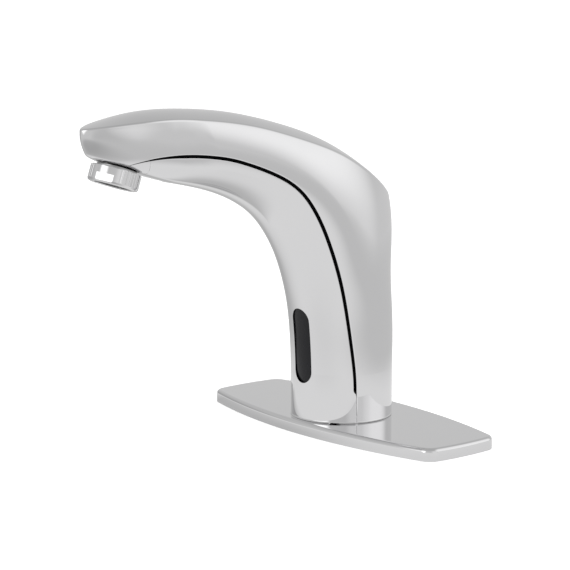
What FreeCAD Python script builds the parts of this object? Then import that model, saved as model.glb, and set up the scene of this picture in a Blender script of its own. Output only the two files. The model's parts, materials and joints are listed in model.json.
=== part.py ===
import FreeCAD, Part
import Sketcher
import math
import os
import sys

V = FreeCAD.Vector
os.makedirs("parts", exist_ok=True)
doc = FreeCAD.newDocument("sensor_tap")

# ---------------------------------------------------------------- driving dimensions
# Row frame: +Z up, origin on the column axis at the underside of the deck plate.
# The spout points along -Y; "fwd" in the names below means distance along -Y.
sheet = doc.addObject("Spreadsheet::Sheet", "dims")
VAL = {}
_row = [1]


def dim(alias, value, note=""):
    r = _row[0]
    _row[0] += 1
    sheet.set("A%d" % r, alias)
    sheet.set("B%d" % r, repr(round(float(value), 6)))
    sheet.setAlias("B%d" % r, alias)
    if note:
        sheet.set("C%d" % r, note)
    VAL[alias] = float(value)
    return float(value)


for a, v, n in [
    ("wall", 2.7, "casting wall"),
    ("plate_half_len", 82.0, "deck plate, half length along X to the end arcs"),
    ("plate_end_bow", 1.6, "how far the end arcs bulge"),
    ("plate_mid_half", 33.0, "half width at the middle"),
    ("plate_end_half", 20.9, "half width at the ends"),
    ("plate_thick", 6.2, "thickness"),
    ("plate_corner", 7.0, "corner radius in plan"),
    ("plate_edge", 1.9, "top edge rounding"),
    ("plate_back", 4.4, "plate centre behind the column axis"),
    ("plate_hole", 14.6, "spigot opening radius"),
    ("plate_pocket", 2.2, "underside pocket depth"),
    ("plate_rim", 5.0, "rim left around the pocket"),
    ("gasket_gap", 0.35, "side gap of the foam gasket"),
    ("gasket_wall", 4.2, "inner margin of the foam gasket"),
    ("col_r", 25.0, "column radius"),
    ("seal_r_out", 24.0, "base seal outer radius"),
    ("seal_r_in", 22.6, "base seal inner radius"),
    ("seal_deep", 0.9, "base seal groove depth"),
    ("block_r", 21.8, "base block radius"),
    ("block_top", 20.0, "base block top"),
    ("block_low", 6.5, "underside of the base block flange"),
    ("spigot_r", 14.0, "spigot radius"),
    ("inlet_r", 4.5, "inlet thread, minor radius (M10 x 1)"),
    ("inlet_len", 12.0, "inlet thread length"),
    ("cart_bore", 7.05, "check cartridge bore radius"),
    ("cart_low", 14.0, "bottom of the cartridge bore"),
    ("stud_r", 2.5, "stud socket radius (M6)"),
    ("stud_len", 13.0, "stud socket depth"),
    ("stud_x", 9.7, "stud socket offset"),
    ("base_screw_r", 1.5, "base screw radius"),
    ("boss_r", 4.2, "screw boss radius"),
    ("boss_len", 9.5, "screw boss length"),
    ("rear_boss_x", 7.0, "rear boss offset"),
    ("rear_boss_y", 17.1, "rear boss offset"),
    ("front_boss_x", 13.5, "front boss offset"),
    ("front_boss_y", 12.7, "front boss offset (forward)"),
    ("valve_y", 5.0, "valve axis behind the column axis"),
    ("valve_r", 11.5, "valve body radius"),
    ("chamber_r", 9.5, "valve chamber radius"),
    ("nozzle_r", 5.0, "valve seat nozzle outer radius"),
    ("nozzle_bore", 3.4, "valve seat nozzle bore"),
    ("piston_r", 9.1, "valve piston radius"),
    ("tube_r", 4.0, "outlet tube outer radius"),
    ("tube_bore", 3.0, "outlet tube bore radius"),
    ("tube_x", 14.6, "outlet tube offset"),
    ("tube_y", 8.0, "outlet tube offset (back)"),
    ("armature_r", 4.0, "plunger radius"),
    ("armature_tube_in", 4.35, "armature tube bore"),
    ("armature_tube_out", 5.0, "armature tube outer radius"),
    ("coil_low", 54.9, "coil bottom"),
    ("coil_high", 70.1, "coil top"),
    ("coil_r", 10.0, "coil flange radius"),
    ("window_half", 6.1, "sensor window half width"),
    ("window_low", 24.6, "sensor window bottom"),
    ("window_high", 61.6, "sensor window top"),
    ("window_sink", 0.6, "how far the window sits under the cover's face"),
    ("window_thick", 2.0, "sensor window thickness"),
    ("window_gap", 0.12, "gap around the window"),
    ("house_half", 7.6, "sensor housing half width"),
    ("house_front", 20.1, "sensor housing front face (forward)"),
    ("house_back", 12.6, "sensor housing back face (forward)"),
    ("house_low", 22.6, "sensor housing bottom"),
    ("house_high", 63.6, "sensor housing top"),
    ("house_wall", 1.2, "sensor housing wall"),
    ("outlet_tilt", 19.0, "outlet axis tilt, degrees"),
    ("outlet_fwd", 134.4, "outlet lip centre, forward"),
    ("outlet_up", 129.2, "outlet lip centre, height"),
    ("outlet_stand", 8.45, "outlet lip below the spout's flat"),
    ("ring_r", 11.6, "aerator ring outer radius"),
    ("ring_tall", 7.6, "aerator ring height"),
    ("ring_thread", 10.3, "aerator ring thread radius"),
    ("ring_mouth", 8.7, "aerator mouth radius"),
    ("ring_lip", 1.6, "aerator ring lip thickness"),
    ("spud_r", 9.95, "outlet nipple thread radius"),
    ("spud_bore", 7.5, "outlet nipple bore round the aerator"),
    ("spud_low", 3.6, "outlet nipple end above the ring's lip"),
    ("spud_neck", 9.2, "outlet nipple neck radius"),
    ("stem_r", 5.45, "outlet nipple stem radius"),
    ("stem_len", 3.9, "outlet nipple stem length"),
    ("water_r", 3.7, "water way radius"),
    ("port_up", 149.0, "height of the tube's socket in the nose"),
    ("port_in", 117.0, "face of the tube's socket (forward)"),
    ("core_half", 8.5, "half width of the nose's solid core"),
    ("seam_gap", 1.4, "open seam width"),
    ("seam_hair", 0.14, "closed seam width"),
    ("seal_sink", 1.0, "how far the seam seal sits under the surface"),
    ("crown", 0.023168, "curvature of the top face across the spout, 1/mm"),
    ("nose_tip", 150.5, "forward reach of the nose at 155 up"),
    ("nose_len", 46.0, "length of the nose taper"),
    ("nose_half", 18.2, "half width where the nose taper starts"),
    ("nose_power", 1.62, "shape of the nose taper"),
    ("nose_lean1", -1.587, "nose front lean, linear"),
    ("nose_lean2", 6.777, "nose front lean, quadratic"),
    ("pack_wide", 34.8, "battery pack width"),
    ("pack_long", 36.0, "battery pack length"),
    ("pack_thick", 19.2, "battery pack thickness"),
    ("pack_fwd", 38.0, "battery pack, forward"),
    ("pack_up", 142.6, "battery pack top face, height"),
    ("pack_slope", 19.2, "battery pack slope, degrees"),
]:
    dim(a, v, n)

# spout sections: forward and height of the centre, tilt of the section, depth on
# the belly side, depth on the ridge side, half width, squareness of the belly half
SECTIONS = [
    (0.0, 6.2, 0.0, 25.0, 25.0, 25.0, 2.0),
    (0.0, 30.0, 0.0, 25.0, 25.0, 25.0, 2.0),
    (1.46, 54.99, 3.0, 25.0, 26.8, 25.0, 2.0),
    (5.36, 77.91, 14.0, 25.0, 30.29, 26.16, 2.0),
    (15.03, 101.7, 36.0, 24.8, 43.0, 27.02, 2.0),
    (34.35, 124.65, 58.0, 24.0, 38.0, 27.29, 2.0),
    (61.44, 139.96, 74.0, 23.0, 30.0, 24.35, 2.1),
    (89.88, 147.66, 84.0, 22.0, 26.0, 20.91, 2.3),
    (118.04, 152.36, 97.0, 21.3, 26.0, 17.28, 2.8),
    (150.0, 161.39, 106.0, 21.0, 26.0, 14.05, 3.4),
]
COLS = ("fwd", "up", "tilt", "belly", "ridge", "half", "square")
for i, row in enumerate(SECTIONS):
    for c, v in zip(COLS, row):
        dim("sec%02d_%s" % (i, c), v)
# ridge line of the top face
RIDGE = [(-45, 105.79), (-25, 113.41), (-5, 128.9), (20, 144.21), (45, 152.93), (70, 158.71), (95, 161.46), (120, 161.29), (140, 157.67), (160, 153.5)]
for i, (f, u) in enumerate(RIDGE):
    dim("ridge%02d_fwd" % i, f)
    dim("ridge%02d_up" % i, u)
# seam between the rear casting and the belly cover, seen from the side
SEAM = [(9.7, 6.0), (9.7, 13.0), (9.7, 20.4), (9.9, 28.1), (11.4, 42.5), (14.7, 61.9), (19.3, 78.8), (23.4, 89.5), (28.0, 99.0), (32.9, 107.3), (39.0, 115.7), (45.2, 122.3), (51.8, 127.2), (61.3, 132.1), (73.3, 136.7), (83.0, 139.6), (93.0, 141.4), (104.3, 142.4), (115.5, 142.2), (123.5, 141.2), (131.9, 139.0)]
for i, (f, u) in enumerate(SEAM):
    dim("seam%02d_fwd" % i, f)
    dim("seam%02d_up" % i, u)
doc.recompute()


def sv(alias):
    """value of a dimension, read from the sheet"""
    return float(sheet.get(alias))


D = {a: sv(a) for a in VAL}


def ex(text):
    """expression text with the sheet's name put before each alias"""
    out = ""
    word = ""
    for ch in text + " ":
        if ch.isalnum() or ch == "_":
            word += ch
        else:
            if word:
                out += ("dims." + word) if word in VAL else word
                word = ""
            out += ch
    return out.strip()


def num(text):
    """value of an expression of aliases"""
    if not isinstance(text, str):
        return float(text)
    total = 0.0
    sign = 1.0
    for tok in text.replace("+", " + ").replace("-", " - ").split():
        if tok == "+":
            sign = 1.0
        elif tok == "-":
            sign = -1.0
        else:
            v = 1.0
            for k, f in enumerate(tok.split("*")):
                parts_ = f.split("/")
                x = D[parts_[0]] if parts_[0] in D else float(parts_[0])
                for q in parts_[1:]:
                    x /= D[q] if q in D else float(q)
                v *= x
            total += sign * v
            sign = 1.0
    return total


# ---------------------------------------------------------------- helpers
NODES = []


def keep(obj, label, placement=None):
    obj.Label = label
    if placement is not None:
        obj.Placement = placement
    NODES.append(obj)
    return obj


def take_back():
    """the last kept piece becomes a blank for further cuts"""
    o = NODES.pop()
    o.Label = o.Name
    return o


def bind(obj, prop, text):
    if isinstance(text, str):
        obj.setExpression(prop, ex(text))
    else:
        setattr(obj, prop, float(text))


_n = [0]


def nm(stem):
    _n[0] += 1
    return "%s_%03d" % (stem, _n[0])


def put(obj, pos, rot=None):
    obj.Placement = FreeCAD.Placement(V(0, 0, 0), rot or FreeCAD.Rotation())
    for axis, text in zip("xyz", pos):
        if isinstance(text, str):
            obj.setExpression("Placement.Base." + axis, ex(text))
    base = V(*[num(t) for t in pos])
    obj.Placement = FreeCAD.Placement(base, rot or FreeCAD.Rotation())
    return obj


def cyl(r, length, pos=(0, 0, 0), rot=None):
    o = doc.addObject("Part::Cylinder", nm("cyl"))
    bind(o, "Radius", r)
    bind(o, "Height", length)
    return put(o, pos, rot)


def box(lx, ly, lz, pos=(0, 0, 0), rot=None):
    o = doc.addObject("Part::Box", nm("box"))
    bind(o, "Length", lx)
    bind(o, "Width", ly)
    bind(o, "Height", lz)
    return put(o, pos, rot)


def fuse(objs):
    if len(objs) == 1:
        return objs[0]
    o = doc.addObject("Part::MultiFuse", nm("fuse"))
    o.Shapes = objs
    return o


def cut(base, tools):
    o = doc.addObject("Part::Cut", nm("cut"))
    o.Base = base
    o.Tool = fuse(tools)
    return o


def common(objs):
    o = doc.addObject("Part::MultiCommon", nm("common"))
    o.Shapes = objs
    return o


def raw(shape, name):
    o = doc.addObject("Part::Feature", nm(name))
    o.Shape = shape
    return o


def plane(body, role):
    for f in body.Origin.OriginFeatures:
        if f.Role == role:
            return f
    raise RuntimeError("no plane " + role)


def polygon(sketch, pts):
    """closed polygon; every corner is bound to the sheet from the sketch origin"""
    n = len(pts)
    xy = [V(num(a), num(b), 0) for a, b in pts]
    for i in range(n):
        sketch.addGeometry(Part.LineSegment(xy[i], xy[(i + 1) % n]), False)
    for i in range(n):
        sketch.addConstraint(Sketcher.Constraint("Coincident", i, 2, (i + 1) % n, 1))
    for i, (a, b) in enumerate(pts):
        for kind, t, axis in (("DistanceX", a, -2), ("DistanceY", b, -1)):
            if abs(num(t)) < 1e-9:
                sketch.addConstraint(Sketcher.Constraint("PointOnObject", i, 1, axis))
            else:
                k = sketch.addConstraint(Sketcher.Constraint(kind, -1, 1, i, 1, num(t)))
                if isinstance(t, str):
                    sketch.setExpression("Constraints[%d]" % k, ex(t))


def new_sketch(body, role="XY_Plane"):
    s = body.newObject("Sketcher::SketchObject", nm("sketch"))
    s.AttachmentSupport = [(plane(body, role), "")]
    s.MapMode = "FlatFace"
    return s


def turned(label, profile, placement=None, drill=()):
    """a turned piece: profile of (radius, height) corners revolved about local Z.
    drill: (radius, x, y, z0, length) holes along Z, pocketed afterwards"""
    body = doc.addObject("PartDesign::Body", nm("body"))
    s = new_sketch(body, "XZ_Plane")
    polygon(s, profile)
    rev = body.newObject("PartDesign::Revolution", nm("rev"))
    rev.Profile = s
    rev.ReferenceAxis = (s, ["V_Axis"])
    rev.Angle = 360.0
    s.Visibility = False
    doc.recompute()
    if drill:
        before = body.Shape.Volume
        s2 = new_sketch(body, "XY_Plane")
        for (r, x, y) in drill:
            g = s2.addGeometry(Part.Circle(V(num(x), num(y), 0), V(0, 0, 1), num(r)), False)
            k = s2.addConstraint(Sketcher.Constraint("Radius", g, num(r)))
            if isinstance(r, str):
                s2.setExpression("Constraints[%d]" % k, ex(r))
            for kind, t, axis in (("DistanceX", x, -2), ("DistanceY", y, -1)):
                if abs(num(t)) < 1e-9:
                    s2.addConstraint(Sketcher.Constraint("PointOnObject", g, 3, axis))
                else:
                    k = s2.addConstraint(Sketcher.Constraint(kind, -1, 1, g, 3, num(t)))
                    if isinstance(t, str):
                        s2.setExpression("Constraints[%d]" % k, ex(t))
        p = body.newObject("PartDesign::Pocket", nm("pocket"))
        p.Profile = s2
        p.Type = "ThroughAll"
        p.Midplane = True
        doc.recompute()
        if not body.Shape.Volume < before - 1e-3:
            raise RuntimeError("pocket cut nothing in " + label)
    return keep(body, label, placement)


# ---------------------------------------------------------------- free-form spout
def solve(A, b):
    n = len(b)
    M = [list(A[i]) + [b[i]] for i in range(n)]
    for i in range(n):
        p = max(range(i, n), key=lambda k: abs(M[k][i]))
        M[i], M[p] = M[p], M[i]
        for k in range(i + 1, n):
            f = M[k][i] / M[i][i]
            if f:
                for j in range(i, n + 1):
                    M[k][j] -= f * M[i][j]
    x = [0.0] * n
    for i in range(n - 1, -1, -1):
        x[i] = (M[i][n] - sum(M[i][j] * x[j] for j in range(i + 1, n))) / M[i][i]
    return x


class Smooth:
    """cubic spline through points, third derivative continuous at the first and last inner knots"""

    def __init__(self, xs, ys):
        n = len(xs)
        self.x = list(xs)
        self.y = list(ys)
        hh = [xs[i + 1] - xs[i] for i in range(n - 1)]
        A = [[0.0] * n for _ in range(n)]
        b = [0.0] * n
        for i in range(1, n - 1):
            A[i][i - 1] = hh[i - 1]
            A[i][i] = 2 * (hh[i - 1] + hh[i])
            A[i][i + 1] = hh[i]
            b[i] = 6 * ((ys[i + 1] - ys[i]) / hh[i] - (ys[i] - ys[i - 1]) / hh[i - 1])
        A[0][0], A[0][1], A[0][2] = hh[1], -(hh[0] + hh[1]), hh[0]
        A[-1][-3], A[-1][-2], A[-1][-1] = hh[-1], -(hh[-2] + hh[-1]), hh[-2]
        self.m = solve(A, b)

    def __call__(self, t):
        x, y, m = self.x, self.y, self.m
        i = 0
        while i < len(x) - 2 and t > x[i + 1]:
            i += 1
        h_ = x[i + 1] - x[i]
        a = (x[i + 1] - t) / h_
        b = (t - x[i]) / h_
        return a * y[i] + b * y[i + 1] + ((a**3 - a) * m[i] + (b**3 - b) * m[i + 1]) * h_ * h_ / 6


TRACK = [Smooth(list(range(len(SECTIONS))), [D["sec%02d_%s" % (i, c)] for i in range(len(SECTIONS))]) for c in COLS]
RIDGE_LINE = Smooth([D["ridge%02d_fwd" % i] for i in range(len(RIDGE))], [D["ridge%02d_up" % i] for i in range(len(RIDGE))])


def section_wire(t, inset, count=36):
    f, up, tilt, belly, ridge, half, sq = [c(t) for c in TRACK]
    if t < 1.0:
        f, tilt, belly, ridge, half, sq = 0.0, 0.0, 25.0, 25.0, 25.0, 2.0
        up = D["sec00_up"] + (D["sec01_up"] - D["sec00_up"]) * t
        belly = ridge = half = D["col_r"]
    sq = max(sq, 2.0)
    ph = math.radians(tilt)
    dy, dz = math.cos(ph), math.sin(ph)
    pts = []
    for k in range(count):
        th = 2 * math.pi * (k + 0.5) / count
        c, s = math.cos(th), math.sin(th)
        e = 1.0 if c > 0 else 2.0 / sq
        cc = math.copysign(abs(c) ** e, c)
        ss = math.copysign(abs(s) ** e, s)
        rr = (ridge if c > 0 else belly) - inset
        pts.append(V((half - inset) * ss, -f + rr * cc * dy, up + rr * cc * dz))
    b = Part.BSplineCurve()
    b.interpolate(Points=pts, PeriodicFlag=True)
    return Part.Wire([b.toShape()])


STATIONS = [0.0, 1.0, 1.7, 2.35, 3.0, 3.7, 4.35, 5.0, 5.8, 6.6, 7.4, 8.2, 8.8, 9.35]


def tube_solid(inset):
    shp = Part.makeLoft([section_wire(t, inset) for t in STATIONS], True, False)
    if shp.Volume < 0:
        shp.reverse()
    return shp


def top_solid(inset):
    """everything under the crowned top face"""
    us = [-50 + 8 * i for i in range(28)]
    xs = [-40 + 5 * i for i in range(17)]
    grid = [[V(x, -f, RIDGE_LINE(f) - inset - D["crown"] * x * x / 2) for x in xs] for f in us]
    s = Part.BSplineSurface()
    s.interpolate(grid)
    return s.toShape().extrude(V(0, 0, -260))


def nose_half_at(f, z, inset):
    w = (155.0 - z) / 15.0
    tip = D["nose_tip"] - D["nose_lean1"] * w - D["nose_lean2"] * w * abs(w)
    q = (f - (tip - D["nose_len"])) / D["nose_len"]
    p = D["nose_power"]
    base = 1.0 if q <= 0 else max(0.0, 1 - q**p) ** (1 / p)
    x = D["nose_half"] * base
    g = tip - D["nose_len"] + 7.5 - f
    if g > 0:
        x += 0.012 * g * g
    return x, tip


def nose_outline(z, inset):
    """plan outline of the nose at one height, open towards the column; deep
    insets shrink the outline rather than offset it, so that it stays simple"""
    _, tip = nose_half_at(0, z, 0)
    L = D["nose_len"]
    p = D["nose_power"]
    half = D["nose_half"]
    if inset > 1.5:
        tip = tip - 1.35 * inset
        L = L - 0.35 * inset
    side = []
    for i in range(6):
        f = tip - L - 14 + 14.0 * i / 6
        g = tip - L + 7.5 - f
        side.append((half + (0.012 * g * g if g > 0 else 0.0), f))
    for i in range(17):
        a = math.pi / 2 * i / 16
        q = math.sin(a) ** (2 / p)
        f = tip - L + L * q
        x = half * math.cos(a) ** (2 / p)
        g = 7.5 - L * q
        if g > 0:
            x += 0.012 * g * g
        side.append((x, f))
    if inset > 1.5:
        shrunk = []
        for x, f in side:
            shrunk.append((max(0.0, x - inset * min(1.0, x / 6.0)), f))
        side = shrunk
        full = side + [(-x, f) for x, f in side[-2::-1]]
        return [V(x, -f, z) for x, f in full]
    # inset along the outline's normal
    pts = []
    full = [(x, f) for x, f in side] + [(-x, f) for x, f in side[-2::-1]]
    m = len(full)
    for i, (x, f) in enumerate(full):
        a = full[max(0, i - 1)]
        b = full[min(m - 1, i + 1)]
        tx, tf = b[0] - a[0], b[1] - a[1]
        ln = math.hypot(tx, tf)
        nx, nf = -tf / ln, tx / ln
        pts.append(V(x + nx * inset, -(f + nf * inset), z))
    return pts


def nose_block(inset):
    """what has to go beyond the nose's rounded sides"""
    wires = []
    for z in (118, 124, 130, 135, 140, 145, 150, 155, 160, 166):
        pts = nose_outline(float(z), inset)
        b = Part.BSplineCurve()
        b.interpolate(Points=pts)
        rear = [pts[-1], V(pts[-1].x - 3.0, -40, z), V(pts[0].x + 3.0, -40, z), pts[0]]
        run = [Part.LineSegment(rear[k], rear[k + 1]).toShape() for k in range(3)]
        wires.append(Part.Wire([b.toShape()] + run))
    prism = Part.makeLoft(wires, True, False)
    slab = Part.makeBox(90, 100, 40, V(-45, -190, 122))
    # the slab starts where the outline is already wider than the spout
    return slab.cut(prism)


TILT = FreeCAD.Rotation(V(1, 0, 0), -D["outlet_tilt"])
OUTLET = FreeCAD.Placement(V(0, -D["outlet_fwd"], D["outlet_up"]), TILT)


def flat_block(rise):
    """what has to go under the nose's flat"""
    b = Part.makeBox(90, 66, 40, V(-45, -42, D["outlet_stand"] + rise - 40))
    b.Placement = OUTLET.multiply(b.Placement)
    return b


def envelope(inset):
    s = tube_solid(inset).common(top_solid(inset))
    s = s.cut(nose_block(inset))
    s = s.cut(flat_block(inset))
    return max(s.Solids, key=lambda q: q.Volume)


OUT = envelope(0.0)
INN = envelope(D["wall"])
WIN_FACE = envelope(D["window_sink"])
WIN_BACK = envelope(D["window_sink"] + D["window_thick"])
SEAL_FACE = envelope(D["seal_sink"])
SEAL_BACK = envelope(D["wall"] + 1.3)
for s_ in (OUT, INN, WIN_FACE, WIN_BACK, SEAL_FACE, SEAL_BACK):
    if s_.isNull() or not s_.isValid():
        raise RuntimeError("spout envelope failed")

# seam lines: offsets of the seam curve, positive towards the belly cover
_sp = [(D["seam%02d_fwd" % i], D["seam%02d_up" % i]) for i in range(len(SEAM))]
_arc = [0.0]
for a_, b_ in zip(_sp[:-1], _sp[1:]):
    _arc.append(_arc[-1] + math.hypot(b_[0] - a_[0], b_[1] - a_[1]))
SEAM_F = Smooth(_arc, [p[0] for p in _sp])
SEAM_U = Smooth(_arc, [p[1] for p in _sp])
SEAM_START = _arc[2]
SEAM_TURN = _arc[19]
SEAM_END = _arc[20]
TURN = (_sp[19][0] - 1.6, _sp[19][1] - 9.87)
TURN_RUN = (TURN[0] + (TURN[0] - _sp[19][0]) * 0.6, TURN[1] + (TURN[1] - _sp[19][1]) * 0.6)


def seam_width(s):
    gap, hair = D["seam_gap"], D["seam_hair"]
    if s < SEAM_START:
        return hair
    if s < SEAM_START + 1.6:
        return hair + (gap - hair) * (s - SEAM_START) / 1.6
    if s > SEAM_END:
        return hair
    run = SEAM_END - s
    return hair + (gap - hair) * min(1.0, run / 26.0)


def seam_points(offset, lo=None, hi=None, wide=0.0):
    """offset: a number, or None for the cover's edge (seam plus gap)"""
    lo = 0.0 if lo is None else lo
    hi = _arc[-1] if hi is None else hi
    grid = sorted(set([lo, hi] + [s for s in ([SEAM_START, SEAM_START + 1.6] + [_arc[-1] * i / 90 for i in range(91)]) if lo < s < hi]))
    pts = []
    for s in grid:
        e = 0.05
        tf = SEAM_F(s + e) - SEAM_F(s - e)
        tu = SEAM_U(s + e) - SEAM_U(s - e)
        ln = math.hypot(tf, tu)
        nf, nu = tu / ln, -tf / ln
        o = seam_width(s) + wide if offset is None else offset
        pts.append((SEAM_F(s) + nf * o, SEAM_U(s) + nu * o, s))
    return pts


def seam_edges(pts):
    """a spline along the seam line, broken where its width changes sharply"""
    parts_, run = [], [pts[0]]
    for p in pts[1:]:
        run.append(p)
        if abs(p[2] - SEAM_START) < 1e-6 or abs(p[2] - SEAM_START - 1.6) < 1e-6:
            parts_.append(run)
            run = [p]
    parts_.append(run)
    edges = []
    for r_ in parts_:
        vs = [V(0, -a, b) for a, b, _ in r_]
        if len(vs) == 2:
            edges.append(Part.LineSegment(vs[0], vs[1]).toShape())
        elif len(vs) > 2:
            c = Part.BSplineCurve()
            c.interpolate(Points=vs)
            edges.append(c.toShape())
    return edges


def side_solid(edges, loop):
    """extrude a closed side-view outline across the whole spout"""
    first = edges[0].Vertexes[0].Point
    last = edges[-1].Vertexes[-1].Point
    chain = [last] + loop + [first]
    for a_, b_ in zip(chain[:-1], chain[1:]):
        edges = edges + [Part.LineSegment(a_, b_).toShape()]
    face = Part.Face(Part.Wire(edges))
    s = face.extrude(V(120, 0, 0))
    s.translate(V(-60, 0, 0))
    if s.Volume < 0:
        s.reverse()
    return s


def below(points, back):
    """side outline of everything on the belly side of the seam"""
    last = points[-1]
    foot_ = V(0, -(TURN_RUN[0] - (_sp[19][0] - last[0])), TURN_RUN[1] - (_sp[19][1] - last[1]))
    return side_solid(seam_edges(points), [foot_, V(0, foot_.y, -5), V(0, -back, -5)])


FRONT_OF_SEAM = below(seam_points(0.0, None, SEAM_TURN), 10.6)
FRONT_OF_COVER = below(seam_points(None, None, SEAM_TURN - 0.45), 10.8)


def strip(o1, o2, lo, hi):
    a_ = seam_points(o1, lo, hi)
    b_ = seam_points(o2, lo, hi)
    e1 = seam_edges([(p[0], p[1], -1) for p in a_])
    e2 = [Part.LineSegment(V(0, -a_[-1][0], a_[-1][1]), V(0, -b_[-1][0], b_[-1][1])).toShape()]
    back = [(p[0], p[1], -1) for p in reversed(b_)]
    e3 = seam_edges(back)
    e4 = [Part.LineSegment(V(0, -b_[0][0], b_[0][1]), V(0, -a_[0][0], a_[0][1])).toShape()]
    s = Part.Face(Part.Wire(e1 + e2 + e3 + e4)).extrude(V(120, 0, 0))
    s.translate(V(-60, 0, 0))
    if s.Volume < 0:
        s.reverse()
    return s


def obround(half, low, high, f0, f1):
    """a flat-sided slot shape standing on end, running forward from f0 to f1"""
    r_ = half
    b = Part.makeBox(2 * r_, f1 - f0, high - low - 2 * r_, V(-r_, -f1, low + r_))
    c1 = Part.makeCylinder(r_, f1 - f0, V(0, -f1, low + r_), V(0, 1, 0))
    c2 = Part.makeCylinder(r_, f1 - f0, V(0, -f1, high - r_), V(0, 1, 0))
    return b.fuse([c1, c2]).removeSplitter()


def biggest(shape):
    return max(shape.Solids, key=lambda q: q.Volume)


def boss(x, y, z0, length, r_):
    return Part.makeCylinder(r_, length, V(x, y, z0))


# the foot of both castings is bored out for the base block
HOLLOW = OUT.cut(INN).cut(Part.makeCylinder(D["col_r"] - D["wall"] + 0.06, D["block_top"] + 0.05 - 4.0, V(0, 0, 4.0)))
zb = D["block_top"] + 0.1
# rear casting
core = INN.common(Part.makeBox(2 * D["core_half"], 60, 60, V(-D["core_half"], -D["port_in"] - 60, D["port_up"] + 6.0 - 60)))
shell = biggest(HOLLOW.fuse(core).cut(FRONT_OF_SEAM))
# the seam runs on as a fine tapering groove
shell = biggest(shell.cut(strip(0.0, None, SEAM_TURN - 0.3, SEAM_END - 0.1).cut(SEAL_FACE)))
# water way in the nose
way = Part.makeCylinder(D["stem_r"] + 0.02, D["stem_len"] + 3.0, V(0, 0, D["outlet_stand"] - 3.0))
way = way.fuse(Part.makeCylinder(D["water_r"], (D["port_up"] - D["outlet_up"]) / math.cos(math.radians(D["outlet_tilt"])) + 1.5, V(0, 0, 0)))
way.Placement = OUTLET.multiply(way.Placement)
_sock = V(0, -D["port_in"] + 1.0, D["port_up"])
way = way.fuse([
    Part.makeCylinder(D["tube_bore"], 12.5, _sock, V(0, -1, 0)),
    Part.makeCylinder(D["tube_r"] + 0.05, 8.6, _sock, V(0, -1, 0)),
    Part.makeCylinder(4.9, 1.5, V(0, -D["port_in"] - 2.0, D["port_up"]), V(0, -1, 0)),
])
shell = shell.cut(way)
for sx in (-1, 1):
    x_, y_ = sx * D["rear_boss_x"], D["rear_boss_y"]
    bs = boss(x_, y_, zb, D["boss_len"], D["boss_r"]).common(OUT)
    shell = shell.fuse(bs)
    shell = shell.cut(Part.makeCylinder(D["base_screw_r"] + 0.02, D["boss_len"] - 1.5, V(x_, y_, zb)))
shell = biggest(shell)
# belly cover
cover = biggest(HOLLOW.common(FRONT_OF_COVER))
for sx in (-1, 1):
    x_, y_ = sx * D["front_boss_x"], -D["front_boss_y"]
    bs = boss(x_, y_, zb, D["boss_len"], D["boss_r"]).common(OUT).common(FRONT_OF_COVER.fuse(INN))
    cover = cover.fuse(bs)
    cover = cover.cut(Part.makeCylinder(D["base_screw_r"] + 0.02, D["boss_len"] - 1.5, V(x_, y_, zb)))
cover = biggest(cover.cut(obround(D["window_half"], D["window_low"], D["window_high"], 10, 40)))
window = obround(D["window_half"] - D["window_gap"], D["window_low"] + D["window_gap"], D["window_high"] - D["window_gap"], 10, 40)
window = biggest(window.common(WIN_FACE).cut(WIN_BACK))
gasket = obround(D["window_half"] - 0.2, D["window_low"] + 0.2, D["window_high"] - 0.2, D["house_front"], 40)
gasket = gasket.cut(obround(D["window_half"] - 1.7, D["window_low"] + 1.7, D["window_high"] - 1.7, D["house_front"] - 1, 40))
gasket = biggest(gasket.common(WIN_BACK))
lo_s, hi_s = SEAM_START + 1.8, SEAM_END - 9.0
web = strip(0.02, None, lo_s, hi_s).common(SEAL_FACE).cut(SEAL_BACK)
foot = strip(-2.2, D["seam_gap"] + 2.2, lo_s, hi_s).common(envelope(D["wall"] + 0.02)).cut(SEAL_BACK)
seal = web.fuse(foot)
for sx in (-1, 1):
    seal = seal.cut(Part.makeCylinder(D["boss_r"] + 0.15, D["boss_len"] + 0.5, V(sx * D["front_boss_x"], -D["front_boss_y"], zb - 0.2)))
seal = Part.makeCompound([q for q in seal.Solids if q.Volume > 4.0])

body_shell = keep(raw(shell, "body_shell"), "body_shell", FreeCAD.Placement())
front_cover = keep(raw(cover, "front_cover"), "front_cover", FreeCAD.Placement())
seam_seal = keep(raw(seal, "seam_seal"), "seam_seal", FreeCAD.Placement())
sensor_window = keep(raw(window, "sensor_window"), "sensor_window", FreeCAD.Placement())
window_gasket = keep(raw(gasket, "window_gasket"), "window_gasket", FreeCAD.Placement())

# ---------------------------------------------------------------- deck plate
def arc_between(p1, p2, bulge):
    """arc from p1 to p2 whose middle stands off the chord by bulge to the right"""
    mid = (p1 + p2) * 0.5
    t = p2 - p1
    n_ = V(t.y, -t.x, 0)
    n_.normalize()
    return Part.Arc(p1, mid + n_ * bulge, p2)


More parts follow.
